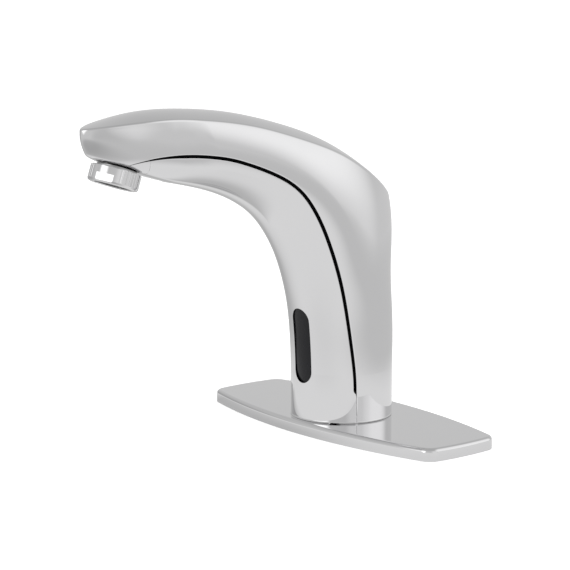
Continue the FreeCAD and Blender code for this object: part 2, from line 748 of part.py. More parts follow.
def plate_sketch(body, shrink):
    """boat outline: two long arcs and two end arcs, bound to the sheet"""
    s = new_sketch(body, "XY_Plane")
    a_ = D["plate_half_len"] - shrink
    e_ = D["plate_end_half"] - shrink * 0.95
    m_ = D["plate_mid_half"] - shrink
    sh = " - %g" % shrink if shrink else ""
    she = " - %g" % (shrink * 0.95) if shrink else ""
    c = [V(-a_, -e_, 0), V(a_, -e_, 0), V(a_, e_, 0), V(-a_, e_, 0)]
    bul = [m_ - e_, D["plate_end_bow"], m_ - e_, D["plate_end_bow"]]
    for i in range(4):
        s.addGeometry(arc_between(c[i], c[(i + 1) % 4], bul[i]), False)
    # an arc's stored ends may be swapped, so ends are found by position
    def end(g, p):
        geo = s.Geometry[g]
        return 1 if (geo.StartPoint - p).Length < 1e-6 else 2

    for i in range(4):
        p = c[(i + 1) % 4]
        s.addConstraint(Sketcher.Constraint("Coincident", i, end(i, p), (i + 1) % 4, end((i + 1) % 4, p)))
    names = ("plate_half_len" + sh, "plate_end_half" + she)
    for i in range(4):
        p = c[i]
        sx = "" if p.x > 0 else "-"
        sy = "" if p.y > 0 else "-"
        k = s.addConstraint(Sketcher.Constraint("DistanceX", -1, 1, i, end(i, p), p.x))
        s.setExpression("Constraints[%d]" % k, sx + "(" + ex(names[0]) + ")")
        k = s.addConstraint(Sketcher.Constraint("DistanceY", -1, 1, i, end(i, p), p.y))
        s.setExpression("Constraints[%d]" % k, sy + "(" + ex(names[1]) + ")")
    for g in range(4):
        rad = s.Geometry[g].Radius
        k = s.addConstraint(Sketcher.Constraint("Radius", g, rad))
        if g % 2 == 0:
            hh_ = "(" + ex("plate_mid_half" + sh) + " - (" + ex("plate_end_half" + she) + "))"
            ll_ = "(" + ex("plate_half_len" + sh) + ")"
        else:
            hh_ = ex("plate_end_bow")
            ll_ = "(" + ex("plate_end_half" + she) + ")"
        s.setExpression("Constraints[%d]" % k, "(%s*%s + %s*%s)/(2*%s)" % (ll_, ll_, hh_, hh_, hh_))
    return s


plate = doc.addObject("PartDesign::Body", "plate_body")
ps = plate_sketch(plate, 0.0)
pad = plate.newObject("PartDesign::Pad", "plate_pad")
pad.Profile = ps
bind(pad, "Length", "plate_thick")
doc.recompute()
corner_edges = [
    "Edge%d" % (i + 1)
    for i, e in enumerate(pad.Shape.Edges)
    if abs(e.BoundBox.ZLength - D["plate_thick"]) < 1e-3 and e.BoundBox.XLength < 1e-3
]
fil = plate.newObject("PartDesign::Fillet", "plate_corners")
fil.Base = (pad, corner_edges)
bind(fil, "Radius", "plate_corner")
doc.recompute()
top_edges = [
    "Edge%d" % (i + 1)
    for i, e in enumerate(fil.Shape.Edges)
    if e.BoundBox.ZLength < 1e-3 and abs(e.BoundBox.ZMin - D["plate_thick"]) < 1e-3
]
fil2 = plate.newObject("PartDesign::Fillet", "plate_top_edge")
fil2.Base = (fil, top_edges)
bind(fil2, "Radius", "plate_edge")
doc.recompute()
# underside pocket for the foam gasket
ps2 = plate_sketch(plate, D["plate_rim"])
pk = plate.newObject("PartDesign::Pocket", "plate_pocket_cut")
pk.Profile = ps2
bind(pk, "Length", "plate_pocket")
pk.Reversed = True
doc.recompute()
if abs(pk.Shape.Volume - fil2.Shape.Volume) < 10:
    pk.Reversed = False
    doc.recompute()
vol_pocket = fil2.Shape.Volume - pk.Shape.Volume
if vol_pocket < 5000:
    raise RuntimeError("plate pocket missing")
# island round the spigot opening, the opening and the base seal's groove
plate_place = FreeCAD.Placement(V(0, D["plate_back"], 0), FreeCAD.Rotation())
plate.Placement = plate_place
island = cyl(20.0, "plate_pocket + 0.4", (0, 0, 0))
opening = cyl("plate_hole", 20.0, (0, 0, -5))
groove_o = cyl("seal_r_out", 5.0, (0, 0, "plate_thick - seal_deep"))
groove_i = cyl("seal_r_in", 5.0, (0, 0, "plate_thick - seal_deep"))
groove = cut(groove_o, [groove_i])
deck_plate = keep(cut(fuse([plate, island]), [opening, groove]), "deck_plate")

# foam gasket: lies in the pocket, flush with the rim
gk = doc.addObject("PartDesign::Body", "gasket_body")
gs = plate_sketch(gk, D["plate_rim"] + D["gasket_gap"])
gp = gk.newObject("PartDesign::Pad", "gasket_pad")
gp.Profile = gs
bind(gp, "Length", "plate_pocket - 0.25")
doc.recompute()
gk.Placement = FreeCAD.Placement(V(0, D["plate_back"], 0.1), FreeCAD.Rotation())
deck_gasket = keep(cut(gk, [cyl(20.5, 10.0, (0, 0, -3))]), "deck_gasket")

turned("base_seal", [("seal_r_in + 0.15", 0), ("seal_r_out - 0.15", 0), ("seal_r_out - 0.15", "seal_deep - 0.05"), ("seal_r_in + 0.15", "seal_deep - 0.05")], FreeCAD.Placement(V(0, 0, D["plate_thick"] - D["seal_deep"]), FreeCAD.Rotation()))

# ---------------------------------------------------------------- base block and its screws
turned(
    "base_block",
    [("inlet_r", 0), ("spigot_r", 0), ("spigot_r", "block_low"), ("block_r", "block_low"), ("block_r", "block_top"), ("cart_bore", "block_top"), ("cart_bore", "cart_low"), ("inlet_r", "cart_low")],
    FreeCAD.Placement(),
    drill=[("base_screw_r + 0.2", "rear_boss_x", "rear_boss_y"), ("base_screw_r + 0.2", "-rear_boss_x", "rear_boss_y"), ("base_screw_r + 0.2", "front_boss_x", "-front_boss_y"), ("base_screw_r + 0.2", "-front_boss_x", "-front_boss_y")],
)
block_body = take_back()
studs = [cyl("stud_r", "stud_len + 1", ("stud_x", 0, -1)), cyl("stud_r", "stud_len + 1", ("-stud_x", 0, -1))]
sinks = [cyl(2.95, 3.3, (x, y, "block_low - 0.1")) for x, y in (("rear_boss_x", "rear_boss_y"), ("-rear_boss_x", "rear_boss_y"), ("front_boss_x", "-front_boss_y"), ("-front_boss_x", "-front_boss_y"))]
keep(cut(block_body, studs + sinks), "base_block")


def screw(r_, length, head_r, head_h, pos, up=True):
    """cap screw: head below, shank upwards (or the other way up)"""
    x, y, z = [num(t) for t in pos]
    d = 1 if up else -1
    head = Part.makeCylinder(head_r, head_h, V(x, y, z), V(0, 0, d))
    shank = Part.makeCylinder(r_, length, V(x, y, z + d * head_h), V(0, 0, d))
    hexs = Part.makePolygon([V(x + head_r * 0.5 * math.cos(math.pi / 3 * k), y + head_r * 0.5 * math.sin(math.pi / 3 * k), z - d * 0.01) for k in range(7)])
    sock = Part.Face(hexs).extrude(V(0, 0, d * head_h * 0.6))
    return head.fuse(shank).cut(sock).removeSplitter()


def group(shapes, label, placement=None):
    return keep(raw(Part.makeCompound(shapes) if len(shapes) > 1 else shapes[0], label), label, placement or FreeCAD.Placement())


group(
    [screw(D["base_screw_r"], 10.6 + 6.5, 2.75, 3.0, (x, y, D["block_low"] + 0.1)) for x, y in ((D["rear_boss_x"], D["rear_boss_y"]), (-D["rear_boss_x"], D["rear_boss_y"]), (D["front_boss_x"], -D["front_boss_y"]), (-D["front_boss_x"], -D["front_boss_y"]))],
    "base_screws",
)

# ---------------------------------------------------------------- inlet filter and check valve
# filter: a round sieve on the shoulder at the bottom of the cartridge bore
sieve = []
for i in range(-2, 3):
    for j in range(-2, 3):
        if math.hypot(i, j) * 1.55 < 3.6:
            sieve.append(cyl(0.5, 2.0, (i * 1.55, j * 1.55, 13.5)))
keep(cut(cyl(6.8, 0.8, (0, 0, 14.1)), sieve), "inlet_filter")

turned(
    "check_valve_body",
    [(5.6, 0), ("cart_bore - 0.05", 0), ("cart_bore - 0.05", 6.0), (6.2, 6.0), (6.2, 7.6), ("cart_bore - 0.05", 7.6), ("cart_bore - 0.05", 14.9), (1.35, 14.9), (1.35, 13.4), (5.4, 13.4), (5.4, 2.6), (3.2, 2.6), (3.2, 1.2), (5.6, 1.2)],
    FreeCAD.Placement(V(0, 0, 15.0), FreeCAD.Rotation()),
)
cb = take_back()
ports = []
for k in range(4):
    a_ = math.pi / 4 + math.pi / 2 * k
    ports.append(cyl(1.25, 4.0, (3.3 * math.cos(a_), 3.3 * math.sin(a_), 27.5)))
keep(cut(cb, ports), "check_valve_body")
turned("check_poppet", [(0, 0), (4.5, 0), (4.5, 1.4), (1.0, 1.4), (1.0, 10.9), (0, 10.9)], FreeCAD.Placement(V(0, 0, 17.95), FreeCAD.Rotation()))
turned("cartridge_oring", [(6.25, 0.25), (6.6, 0.0), (6.95, 0.0), (7.02, 0.4), (7.02, 1.0), (6.95, 1.4), (6.6, 1.4), (6.25, 1.15)], FreeCAD.Placement(V(0, 0, 21.1), FreeCAD.Rotation()))


def spring(label, x, y, z0, z1, r_, wire, turns):
    h_ = z1 - z0 - 2 * wire
    hx = Part.makeHelix(h_ / turns, h_, r_)
    hx.translate(V(0, 0, wire))
    prof = Part.Wire(Part.makeCircle(wire, V(r_, 0, wire), V(0, 1, 0)))
    s = Part.Wire(hx).makePipeShell([prof], True, True)
    if s.Volume < 0:
        s.reverse()
    return keep(raw(s, label), label, FreeCAD.Placement(V(x, y, z0), FreeCAD.Rotation()))


spring("check_spring", 0, 0, 19.5, 28.25, 2.0, 0.3, 5)

# ---------------------------------------------------------------- solenoid valve
vy = D["valve_y"]
zl, zh = 20.15, 48.5
lower = cyl(10.0, 15.0, (0, 2.0, zl))
upper = cyl("valve_r", zh - 33.0, (0, "valve_y", 33.0))
ear1 = cyl(3.5, 12.5, (0, vy + 12.0, zh - 12.5))
ear2 = cyl(3.5, 12.5, (0, vy - 12.0, zh - 12.5))
lug = cyl(5.3, 17.0, ("tube_x", "tube_y", 29.0))
bridge = box(10.0, 8.0, 8.0, (5.0, vy - 2.0, 29.0))
inner = [
    cyl("cart_bore", 10.25, (0, 0, zl - 0.1)),
    cyl(1.4, 1.4, (0, 0, zl + 9.95)),
    cyl(1.8, 9.0, (0, vy - 7.2, 29.5)),
    cut(cyl("chamber_r", 20.0, (0, "valve_y", 36.5)), [cyl("nozzle_r", 4.5, (0, "valve_y", 36.5))]),
    cyl("nozzle_bore", 10.5, (0, "valve_y", 31.8)),
    cyl(2.5, 15.0, (0, "valve_y", 33.8), FreeCAD.Rotation(V(0, 1, 0), 90)),
    cyl("tube_r + 0.05", 12.0, ("tube_x", "tube_y", 38.0)),
    cyl("tube_bore", 10.0, ("tube_x", "tube_y", 31.3)),
    cyl(5.0 - 0.1, 1.5, ("tube_x", "tube_y", 41.0)),
    cyl(1.15, 9.0, (0, vy + 12.0, zh - 8.0)),
    cyl(1.15, 9.0, (0, vy - 12.0, zh - 8.0)),
]
keep(cut(fuse([lower, upper, ear1, ear2, lug, bridge]), inner), "valve_body")

turned("valve_piston", [(0.7, 0), (6.2, 0), (6.2, 1.0), ("piston_r", 1.0), ("piston_r", 1.6), (8.0, 1.6), (8.0, 3.0), ("piston_r", 3.0), ("piston_r", 3.6), (2.2, 3.6), (2.2, 4.1), (0.7, 4.1)], FreeCAD.Placement(V(0, vy, 41.35), FreeCAD.Rotation()))
turned("piston_seal", [(8.1, 0), (9.2, 0), (9.2, 1.2), (8.1, 1.2)], FreeCAD.Placement(V(0, vy, 43.05), FreeCAD.Rotation()))

tube_body = turned(
    "armature_tube",
    [("armature_tube_in", 0), (10.2, 0), (10.2, 2.2), ("armature_tube_out", 2.2), ("armature_tube_out", 24.6), (0, 24.6), (0, 22.4), ("armature_tube_in", 22.4)],
    FreeCAD.Placement(V(0, vy, 48.6), FreeCAD.Rotation()),
)
take_back()
earp = [cyl(3.4, 2.2, (0, vy + 12.0, 48.6)), cyl(3.4, 2.2, (0, vy - 12.0, 48.6)), cut(box(6.8, 24.0, 2.2, (-3.4, vy - 12.0, 48.6)), [cyl(6.0, 5.0, (0, vy, 47.6))])]
earh = [cyl(1.45, 5.0, (0, vy + 12.0, 47.0)), cyl(1.45, 5.0, (0, vy - 12.0, 47.0))]
keep(cut(fuse([tube_body] + earp), earh), "armature_tube")
group([screw(1.15, 8.4, 2.4, 1.9, (0, vy + 12.0, 52.75), up=False), screw(1.15, 8.4, 2.4, 1.9, (0, vy - 12.0, 52.75), up=False)], "bonnet_screws")

turned("plunger", [(0, 0), ("armature_r", 0), ("armature_r", 21.0), (2.4, 21.0), (2.4, 15.0), (0, 15.0)], FreeCAD.Placement(V(0, vy, 47.0), FreeCAD.Rotation()))
turned("plunger_pad", [(0, 0), (1.8, 0), (1.8, 1.2), (0, 1.2)], FreeCAD.Placement(V(0, vy, 45.78), FreeCAD.Rotation()))
spring("plunger_spring", 0, vy, 62.2, 70.85, 1.8, 0.28, 5)

turned("coil_bobbin", [(5.15, "0"), ("coil_r", 0), ("coil_r", 1.1), (6.1, 1.1), (6.1, "coil_high - coil_low - 1.1"), ("coil_r", "coil_high - coil_low - 1.1"), ("coil_r", "coil_high - coil_low"), (5.15, "coil_high - coil_low")], FreeCAD.Placement(V(0, vy, D["coil_low"]), FreeCAD.Rotation()))
turned("coil_winding", [(6.15, 0), (9.4, 0), (9.4, "coil_high - coil_low - 2.4"), (6.15, "coil_high - coil_low - 2.4")], FreeCAD.Placement(V(0, vy, D["coil_low"] + 1.2), FreeCAD.Rotation()))
yk = [
    box(1.2, 14.0, "coil_high - coil_low + 2.6", (-11.6, vy - 7.0, "coil_low - 1.3")),
    box(19.0, 14.0, 1.2, (-11.6, vy - 7.0, "coil_low - 1.3")),
    box(19.0, 14.0, 1.2, (-11.6, vy - 7.0, "coil_high + 0.1")),
]
keep(cut(fuse(yk), [cyl(5.1, 40.0, (0, vy, 45.0))]), "coil_yoke")

# ---------------------------------------------------------------- outlet elbow and aerator, in the outlet's own tilted frame
loc = OUTLET


def tilted(shape):
    shape.Placement = OUTLET.multiply(shape.Placement)
    return shape


turned(
    "outlet_nipple",
    [("water_r", "outlet_stand - 0.9"), ("spud_bore", "outlet_stand - 0.9"), ("spud_bore", "spud_low"), ("spud_r", "spud_low"), ("spud_r", 7.3), ("spud_neck", 7.6), ("spud_neck", "outlet_stand - 0.05"), ("stem_r", "outlet_stand - 0.05"), ("stem_r", "outlet_stand + stem_len - 0.2"), ("water_r", "outlet_stand + stem_len - 0.2")],
    OUTLET,
)


def oring(center, axis, r_, w_):
    t = Part.makeTorus(r_, w_, V(*center), V(*axis))
    return t


group([oring((D["tube_x"], D["tube_y"], 41.75), (0, 0, 1), 4.45, 0.4), oring((0, -D["port_in"] - 2.75, D["port_up"]), (0, 1, 0), 4.45, 0.4)], "outlet_orings")


def rounded_path(pts, frac=0.45):
    """straight runs joined by tangent arcs, each as large as its runs allow"""
    P = [V(*p) for p in pts]
    edges = []
    here = P[0]
    total = 0.0
    for i in range(1, len(P) - 1):
        a_ = (P[i - 1] - P[i])
        b_ = (P[i + 1] - P[i])
        la, lb = a_.Length, b_.Length
        a_.normalize()
        b_.normalize()
        half = 0.5 * a_.getAngle(b_)
        cutback = frac * min(la, lb)
        r_ = cutback * math.tan(half)
        p1 = P[i] + a_ * cutback
        p2 = P[i] + b_ * cutback
        bis = a_ + b_
        bis.normalize()
        ctr = P[i] + bis * (cutback / math.cos(half))
        mid = ctr - bis * r_
        if (p1 - here).Length > 1e-4:
            edges.append(Part.LineSegment(here, p1).toShape())
            total += (p1 - here).Length
        arc = Part.Arc(p1, mid, p2).toShape()
        edges.append(arc)
        total += arc.Length
        here = p2
        print("  bend radius %.1f" % r_)
    edges.append(Part.LineSegment(here, P[-1]).toShape())
    total += (P[-1] - here).Length
    return Part.Wire(edges), total


def pipe(pts, r_, bore_=None):
    w_, ln = rounded_path(pts)
    d = V(*pts[1]) - V(*pts[0])
    prof = Part.Wire(Part.makeCircle(r_, V(*pts[0]), d))
    s = w_.makePipeShell([prof], True, False)
    if s.Volume < 0:
        s.reverse()
    if abs(s.Volume - math.pi * r_ * r_ * ln) > 0.02 * s.Volume:
        raise RuntimeError("pipe volume off")
    if bore_:
        prof2 = Part.Wire(Part.makeCircle(bore_, V(*pts[0]), d))
        s2 = w_.makePipeShell([prof2], True, False)
        if s2.Volume < 0:
            s2.reverse()
        s = s.cut(s2)
    return s, ln


TUBE_PTS = [(D["tube_x"], D["tube_y"], 38.2), (D["tube_x"], D["tube_y"], 84.0), (13.4, -7.0, 100.0), (6.5, -42.0, 113.2), (0.4, -69.0, 129.2), (0.0, -96.0, D["port_up"]), (0.0, -(D["port_in"] + 7.2), D["port_up"])]
tube, tube_len = pipe(TUBE_PTS, D["tube_r"], D["tube_bore"])
print("outlet tube length", round(tube_len, 1))
keep(raw(tube, "outlet_tube"), "outlet_tube", FreeCAD.Placement())

# aerator ring: turned, two wrench flats milled in
rt, rr_ = D["ring_tall"], D["ring_r"]
ring_body = turned(
    "aerator_ring",
    [("ring_mouth", 0.35), ("ring_mouth + 0.3", 0), ("ring_r - 1.1", 0), ("ring_r - 0.3", 0.35), ("ring_r", 1.1), ("ring_r", "ring_tall - 0.4"), ("ring_r - 0.4", "ring_tall"), ("ring_thread", "ring_tall"), ("ring_thread", "ring_lip"), ("ring_mouth", "ring_lip")],
)
take_back()
flats = [box(4.0, 10.4, 3.4, ("ring_r - 0.8", -5.2, 0.6)), box(4.0, 10.4, 3.4, (-D["ring_r"] + 0.8 - 4.0, -5.2, 0.6))]
for k in range(44):
    a_ = 2 * math.pi * (k + 0.5) / 44
    if abs(math.cos(a_)) < 0.86:
        flats.append(cyl(0.5, "ring_tall - 1.7", ((D["ring_r"] + 0.34) * math.cos(a_), (D["ring_r"] + 0.34) * math.sin(a_), 1.3)))
ring_cut = cut(ring_body, flats)
keep(ring_cut, "aerator_ring", FreeCAD.Placement(OUTLET.Base, TILT.multiply(FreeCAD.Rotation(V(0, 0, 1), -58))))

turned("aerator_insert", [(0, 1.75), (9.9, 1.75), (9.9, 2.6), (7.1, 2.6), (7.1, 6.5), (6.3, 6.5), (6.3, 2.9), (0, 2.9)], OUTLET)
ins = take_back()
cells = []
for i in range(-3, 4):
    for j in range(-3, 4):
        if math.hypot(i, j) * 1.75 < 5.2:
            c = doc.addObject("Part::Cylinder", nm("cell"))
            c.Radius, c.Height = 0.6, 4.0
            c.Placement = OUTLET.multiply(FreeCAD.Placement(V(i * 1.75, j * 1.75, 1.0), FreeCAD.Rotation()))
            cells.append(c)
keep(cut(ins, cells), "aerator_insert")

mesh = Part.makeCylinder(8.35, 0.6, V(0, 0, 1.1))
holes = []
for i in range(-5, 6):
    for j in range(-5, 6):
        if math.hypot(i, j) * 1.45 < 7.2:
            holes.append(Part.makeBox(1.05, 1.05, 3, V(i * 1.45 - 0.525, j * 1.45 - 0.525, 0)))
mesh = mesh.cut(Part.makeCompound(holes))
keep(raw(tilted(mesh), "aerator_mesh"), "aerator_mesh", OUTLET)
turned("aerator_gasket", [(7.6, 2.65), (9.85, 2.65), (9.85, 3.3), (7.6, 3.3)], OUTLET)
turned("aerator_screen", [(0, 6.6), (6.9, 6.6), (6.9, 7.0), (0, 7.0)], OUTLET)
scr = take_back()
scells = []
for i in range(-4, 5):
    for j in range(-4, 5):
        if math.hypot(i, j) * 1.3 < 5.6:
            c = doc.addObject("Part::Cylinder", nm("cell"))
            c.Radius, c.Height = 0.4, 3.0
            c.Placement = OUTLET.multiply(FreeCAD.Placement(V(i * 1.3, j * 1.3, 5.6), FreeCAD.Rotation()))
            scells.append(c)
keep(cut(scr, scells), "aerator_screen")

# ---------------------------------------------------------------- sensor module
hw, hf, hb, hl, hh2, t_ = D["house_half"], D["house_front"], D["house_back"], D["house_low"], D["house_high"], D["house_wall"]
outer = box("house_half*2", "house_front - house_back", "house_high - house_low", ("-house_half", "-house_front", "house_low"))
pocket_ = box("house_half*2 - house_wall*2", 20.0, "house_high - house_low - house_wall*2", ("-house_half + house_wall", -hb - t_ - 20.0, "house_low + house_wall"))
keep(cut(outer, [pocket_, cyl(1.2, 6.0, (0, -hb + 2.0, 27.0), FreeCAD.Rotation(V(1, 0, 0), 90)), cyl(1.2, 6.0, (0, -hb + 2.0, 59.2), FreeCAD.Rotation(V(1, 0, 0), 90)), cyl(1.7, 6.0, (-3.6, -hb + 2.0, 55.5), FreeCAD.Rotation(V(1, 0, 0), 90))]), "sensor_housing")
pcb = box(12.2, 1.4, 36.6, (-6.1, -hb - t_ - 1.9, 25.0))
keep(cut(pcb, [cyl(0.5, 6.0, (x, -hb, z), FreeCAD.Rotation(V(1, 0, 0), 90)) for x, z in ((-4.8, 26.4), (4.8, 26.4), (-4.8, 60.2), (4.8, 60.2))]), "sensor_board")
led_y0 = -(hb + t_ + 1.95)


def led(r_, z, length):
    """round lens standing forward from the board"""
    c = Part.makeCylinder(r_ + 0.35, 0.8, V(0, led_y0, z), V(0, -1, 0))
    c = c.fuse([Part.makeCylinder(r_, length - r_, V(0, led_y0, z), V(0, -1, 0)), Part.makeSphere(r_, V(0, led_y0 - (length - r_), z))])
    return c.removeSplitter()


keep(raw(led(2.3, 51.5, 4.6), "ir_emitter"), "ir_emitter", FreeCAD.Placement())
keep(raw(led(2.3, 35.0, 4.6), "ir_receiver"), "ir_receiver", FreeCAD.Placement())
keep(raw(led(1.3, 43.3, 3.6), "status_led"), "status_led", FreeCAD.Placement())
chip_ = [box(5.0, 1.1, 5.0, (-2.5, led_y0 - 1.1, 28.6 - 3.0 + 1.0)), box(2.0, 1.0, 1.2, (2.9, led_y0 - 1.0, 42.0)), box(2.0, 1.0, 1.2, (-4.9, led_y0 - 1.0, 44.0))]
keep(fuse(chip_), "control_chips")
keep(cut(box(12.0, 1.0, 38.0, (-6.0, -hb + 0.1, 24.2)), [cyl(1.2, 4.0, (0, -hb + 3.0, 27.0), FreeCAD.Rotation(V(1, 0, 0), 90)), cyl(1.2, 4.0, (0, -hb + 3.0, 59.2), FreeCAD.Rotation(V(1, 0, 0), 90)), cyl(1.9, 4.0, (-3.6, -hb + 3.0, 55.5), FreeCAD.Rotation(V(1, 0, 0), 90))]), "sensor_bracket")


def side_screw(z):
    h_ = Part.makeCylinder(2.0, 1.0, V(0, -hb + 2.15, z), V(0, -1, 0))
    sh_ = Part.makeCylinder(1.1, 2.2, V(0, -hb + 1.15, z), V(0, -1, 0))
    slot = Part.makeBox(3.2, 0.5, 0.6, V(-1.6, -hb + 1.7, z - 0.3))
    return h_.fuse(sh_).cut(slot)


group([side_screw(27.0), side_screw(59.2)], "bracket_screws")

# ---------------------------------------------------------------- battery pack and tray, in a sloped frame under the top face
SL = FreeCAD.Rotation(V(1, 0, 0), -D["pack_slope"])
PACK = FreeCAD.Placement(V(0, -D["pack_fwd"], D["pack_up"]), SL)
pl_, pw_, pt_ = D["pack_long"], D["pack_wide"], D["pack_thick"]


def packed(shape):
    shape.Placement = PACK.multiply(shape.Placement)
    return shape


case = Part.makeBox(pw_ - 2 * 8.0, pl_, pt_, V(-pw_ / 2 + 8.0, -pl_ / 2, -pt_))
for sx in (-1, 1):
    c_ = Part.makeCylinder(8.0, pl_, V(sx * (pw_ / 2 - 8.0), -pl_ / 2, -8.6), V(0, 1, 0))
    d_ = Part.makeBox(8.0, pl_, pt_ - 8.6, V(-pw_ / 2 if sx < 0 else pw_ / 2 - 8.0, -pl_ / 2, -pt_))
    case = case.fuse([c_, d_])
case = case.common(Part.makeBox(pw_, pl_, pt_, V(-pw_ / 2, -pl_ / 2, -pt_))).removeSplitter()
keep(raw(packed(case), "battery_pack"), "battery_pack", PACK)
tray = Part.makeBox(pw_ - 4.0, pl_ + 4.4, 1.2, V(-pw_ / 2 + 2.0, -pl_ / 2 - 2.2, -pt_ - 1.35))
tray = tray.fuse([Part.makeBox(pw_ - 8.0, 1.2, 13.0, V(-pw_ / 2 + 4.0, -pl_ / 2 - 2.2, -pt_ - 0.6)), Part.makeBox(pw_ - 8.0, 1.2, 13.0, V(-pw_ / 2 + 4.0, pl_ / 2 + 1.0, -pt_ - 0.6))])
notch = pipe(TUBE_PTS, D["tube_r"] + 0.5)[0]
notch.Placement = PACK.inverse()
tray = biggest(tray.removeSplitter().cut(notch))
keep(raw(packed(tray), "battery_tray"), "battery_tray", PACK)
cons = []
for sx in (-1, 1):
    cons.append(packed(Part.makeBox(6.0, 0.5, 7.0, V(sx * 7.0 - 3.0, pl_ / 2 + 0.35, -pt_ + 2.0))))
group(cons, "battery_contacts")

# leads: each a twisted pair drawn as one round sleeve, straight runs and arcs
lead_a, la_len = pipe([(-3.6, -hb + 1.2, 55.5), (-3.6, -hb + 5.0, 57.0), (-4.2, -8.4, 66.0), (-6.0, -9.0, 82.0), (-8.0, -14.5, 102.0), (-8.0, -19.0, 111.5)], 1.1)
keep(raw(lead_a, "battery_lead"), "battery_lead", FreeCAD.Placement())
print("battery lead", round(la_len, 1))

doc.recompute()

# ---------------------------------------------------------------- checks and export
bad = []
for o in doc.Objects:
    st = [s for s in o.State if s in ("Invalid", "Error")]
    if st:
        bad.append((o.Name, o.Label, st))
for o in NODES:
    sh = o.Shape
    if sh.isNull() or not sh.isValid() or not sh.Solids:
        bad.append((o.Name, o.Label, "shape", sh.isNull() or sh.isValid()))
if bad:
    for b_ in bad:
        print("FAILED", b_)
    sys.exit(1)
labels = [o.Label for o in NODES]
if len(set(labels)) != len(labels):
    print("FAILED duplicate labels")
    sys.exit(1)
for o in NODES:
    o.Shape.exportStep("parts/" + o.Label + ".step")
    bb = o.Shape.BoundBox
    print("%-18s solids %d vol %9.1f  x %.1f..%.1f y %.1f..%.1f z %.1f..%.1f" % (o.Label, len(o.Shape.Solids), o.Shape.Volume, bb.XMin, bb.XMax, bb.YMin, bb.YMax, bb.ZMin, bb.ZMax))
print("nodes", len(NODES))
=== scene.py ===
import json
import math
import bpy
import numpy as np
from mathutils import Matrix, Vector


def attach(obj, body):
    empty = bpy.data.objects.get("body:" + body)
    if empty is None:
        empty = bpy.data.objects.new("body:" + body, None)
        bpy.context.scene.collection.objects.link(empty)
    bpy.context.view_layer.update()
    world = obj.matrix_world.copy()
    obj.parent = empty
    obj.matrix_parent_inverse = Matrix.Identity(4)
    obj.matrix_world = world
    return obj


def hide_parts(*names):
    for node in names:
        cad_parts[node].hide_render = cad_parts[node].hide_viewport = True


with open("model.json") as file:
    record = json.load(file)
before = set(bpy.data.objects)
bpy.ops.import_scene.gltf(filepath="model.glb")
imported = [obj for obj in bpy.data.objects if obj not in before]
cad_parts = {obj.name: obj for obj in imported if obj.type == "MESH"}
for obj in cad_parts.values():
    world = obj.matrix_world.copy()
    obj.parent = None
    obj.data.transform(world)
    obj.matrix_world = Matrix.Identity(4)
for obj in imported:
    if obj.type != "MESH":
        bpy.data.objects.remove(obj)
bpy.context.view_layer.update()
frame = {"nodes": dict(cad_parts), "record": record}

MM = 0.001
C = bpy.context
scene = C.scene

# ------------------------------------------------------------------ spout shape
# The same sections, ridge line, nose outline and seam as the solid model, in
# millimetres; "u" is the distance forward, along -Y.
SECTIONS = np.array([
    (0.0, 6.2, 0.0, 25.0, 25.0, 25.0, 2.0),
    (0.0, 30.0, 0.0, 25.0, 25.0, 25.0, 2.0),
    (1.46, 54.99, 3.0, 25.0, 26.8, 25.0, 2.0),
    (5.36, 77.91, 14.0, 25.0, 30.29, 26.16, 2.0),
    (15.03, 101.7, 36.0, 24.8, 43.0, 27.02, 2.0),
    (34.35, 124.65, 58.0, 24.0, 38.0, 27.29, 2.0),
    (61.44, 139.96, 74.0, 23.0, 30.0, 24.35, 2.1),
    (89.88, 147.66, 84.0, 22.0, 26.0, 20.91, 2.3),
    (118.04, 152.36, 97.0, 21.3, 26.0, 17.28, 2.8),
    (150.0, 161.39, 106.0, 21.0, 26.0, 14.05, 3.4),
])
RIDGE = np.array([(-45, 105.79), (-25, 113.41), (-5, 128.9), (20, 144.21), (45, 152.93), (70, 158.71), (95, 161.46), (120, 161.29), (140, 157.67), (160, 153.5)], float)
SEAM = np.array([(9.7, 6.0), (9.7, 13.0), (9.7, 20.4), (9.9, 28.1), (11.4, 42.5), (14.7, 61.9), (19.3, 78.8), (23.4, 89.5), (28.0, 99.0), (32.9, 107.3), (39.0, 115.7), (45.2, 122.3), (51.8, 127.2), (61.3, 132.1), (73.3, 136.7), (83.0, 139.6), (93.0, 141.4), (104.3, 142.4), (115.5, 142.2), (123.5, 141.2), (131.9, 139.0)])
KAPPA = 0.023168
SEAM_GAP, SEAM_HAIR = 1.4, 0.14
TILT = math.radians(19.0)
LIP_U, LIP_Z, STAND = 134.4, 129.2, 8.45
WALL = 2.7


class Spline:
    """cubic spline, third derivative continuous at the first and last inner knots"""

    def __init__(self, x, y):
        x = np.asarray(x, float)
        y = np.asarray(y, float)
        n = len(x)
        h = np.diff(x)
        A = np.zeros((n, n))
        b = np.zeros(n)
        for i in range(1, n - 1):
            A[i, i - 1], A[i, i], A[i, i + 1] = h[i - 1], 2 * (h[i - 1] + h[i]), h[i]
            b[i] = 6 * ((y[i + 1] - y[i]) / h[i] - (y[i] - y[i - 1]) / h[i - 1])
        A[0, :3] = h[1], -(h[0] + h[1]), h[0]
        A[-1, -3:] = h[-1], -(h[-2] + h[-1]), h[-2]
        self.x, self.y, self.m = x, y, np.linalg.solve(A, b)

    def __call__(self, t):
        t = np.asarray(t, float)
        x, y, m = self.x, self.y, self.m
        i = np.clip(np.searchsorted(x, t) - 1, 0, len(x) - 2)
        h = x[i + 1] - x[i]
        a = (x[i + 1] - t) / h
        b = (t - x[i]) / h
        return a * y[i] + b * y[i + 1] + ((a**3 - a) * m[i] + (b**3 - b) * m[i + 1]) * h * h / 6


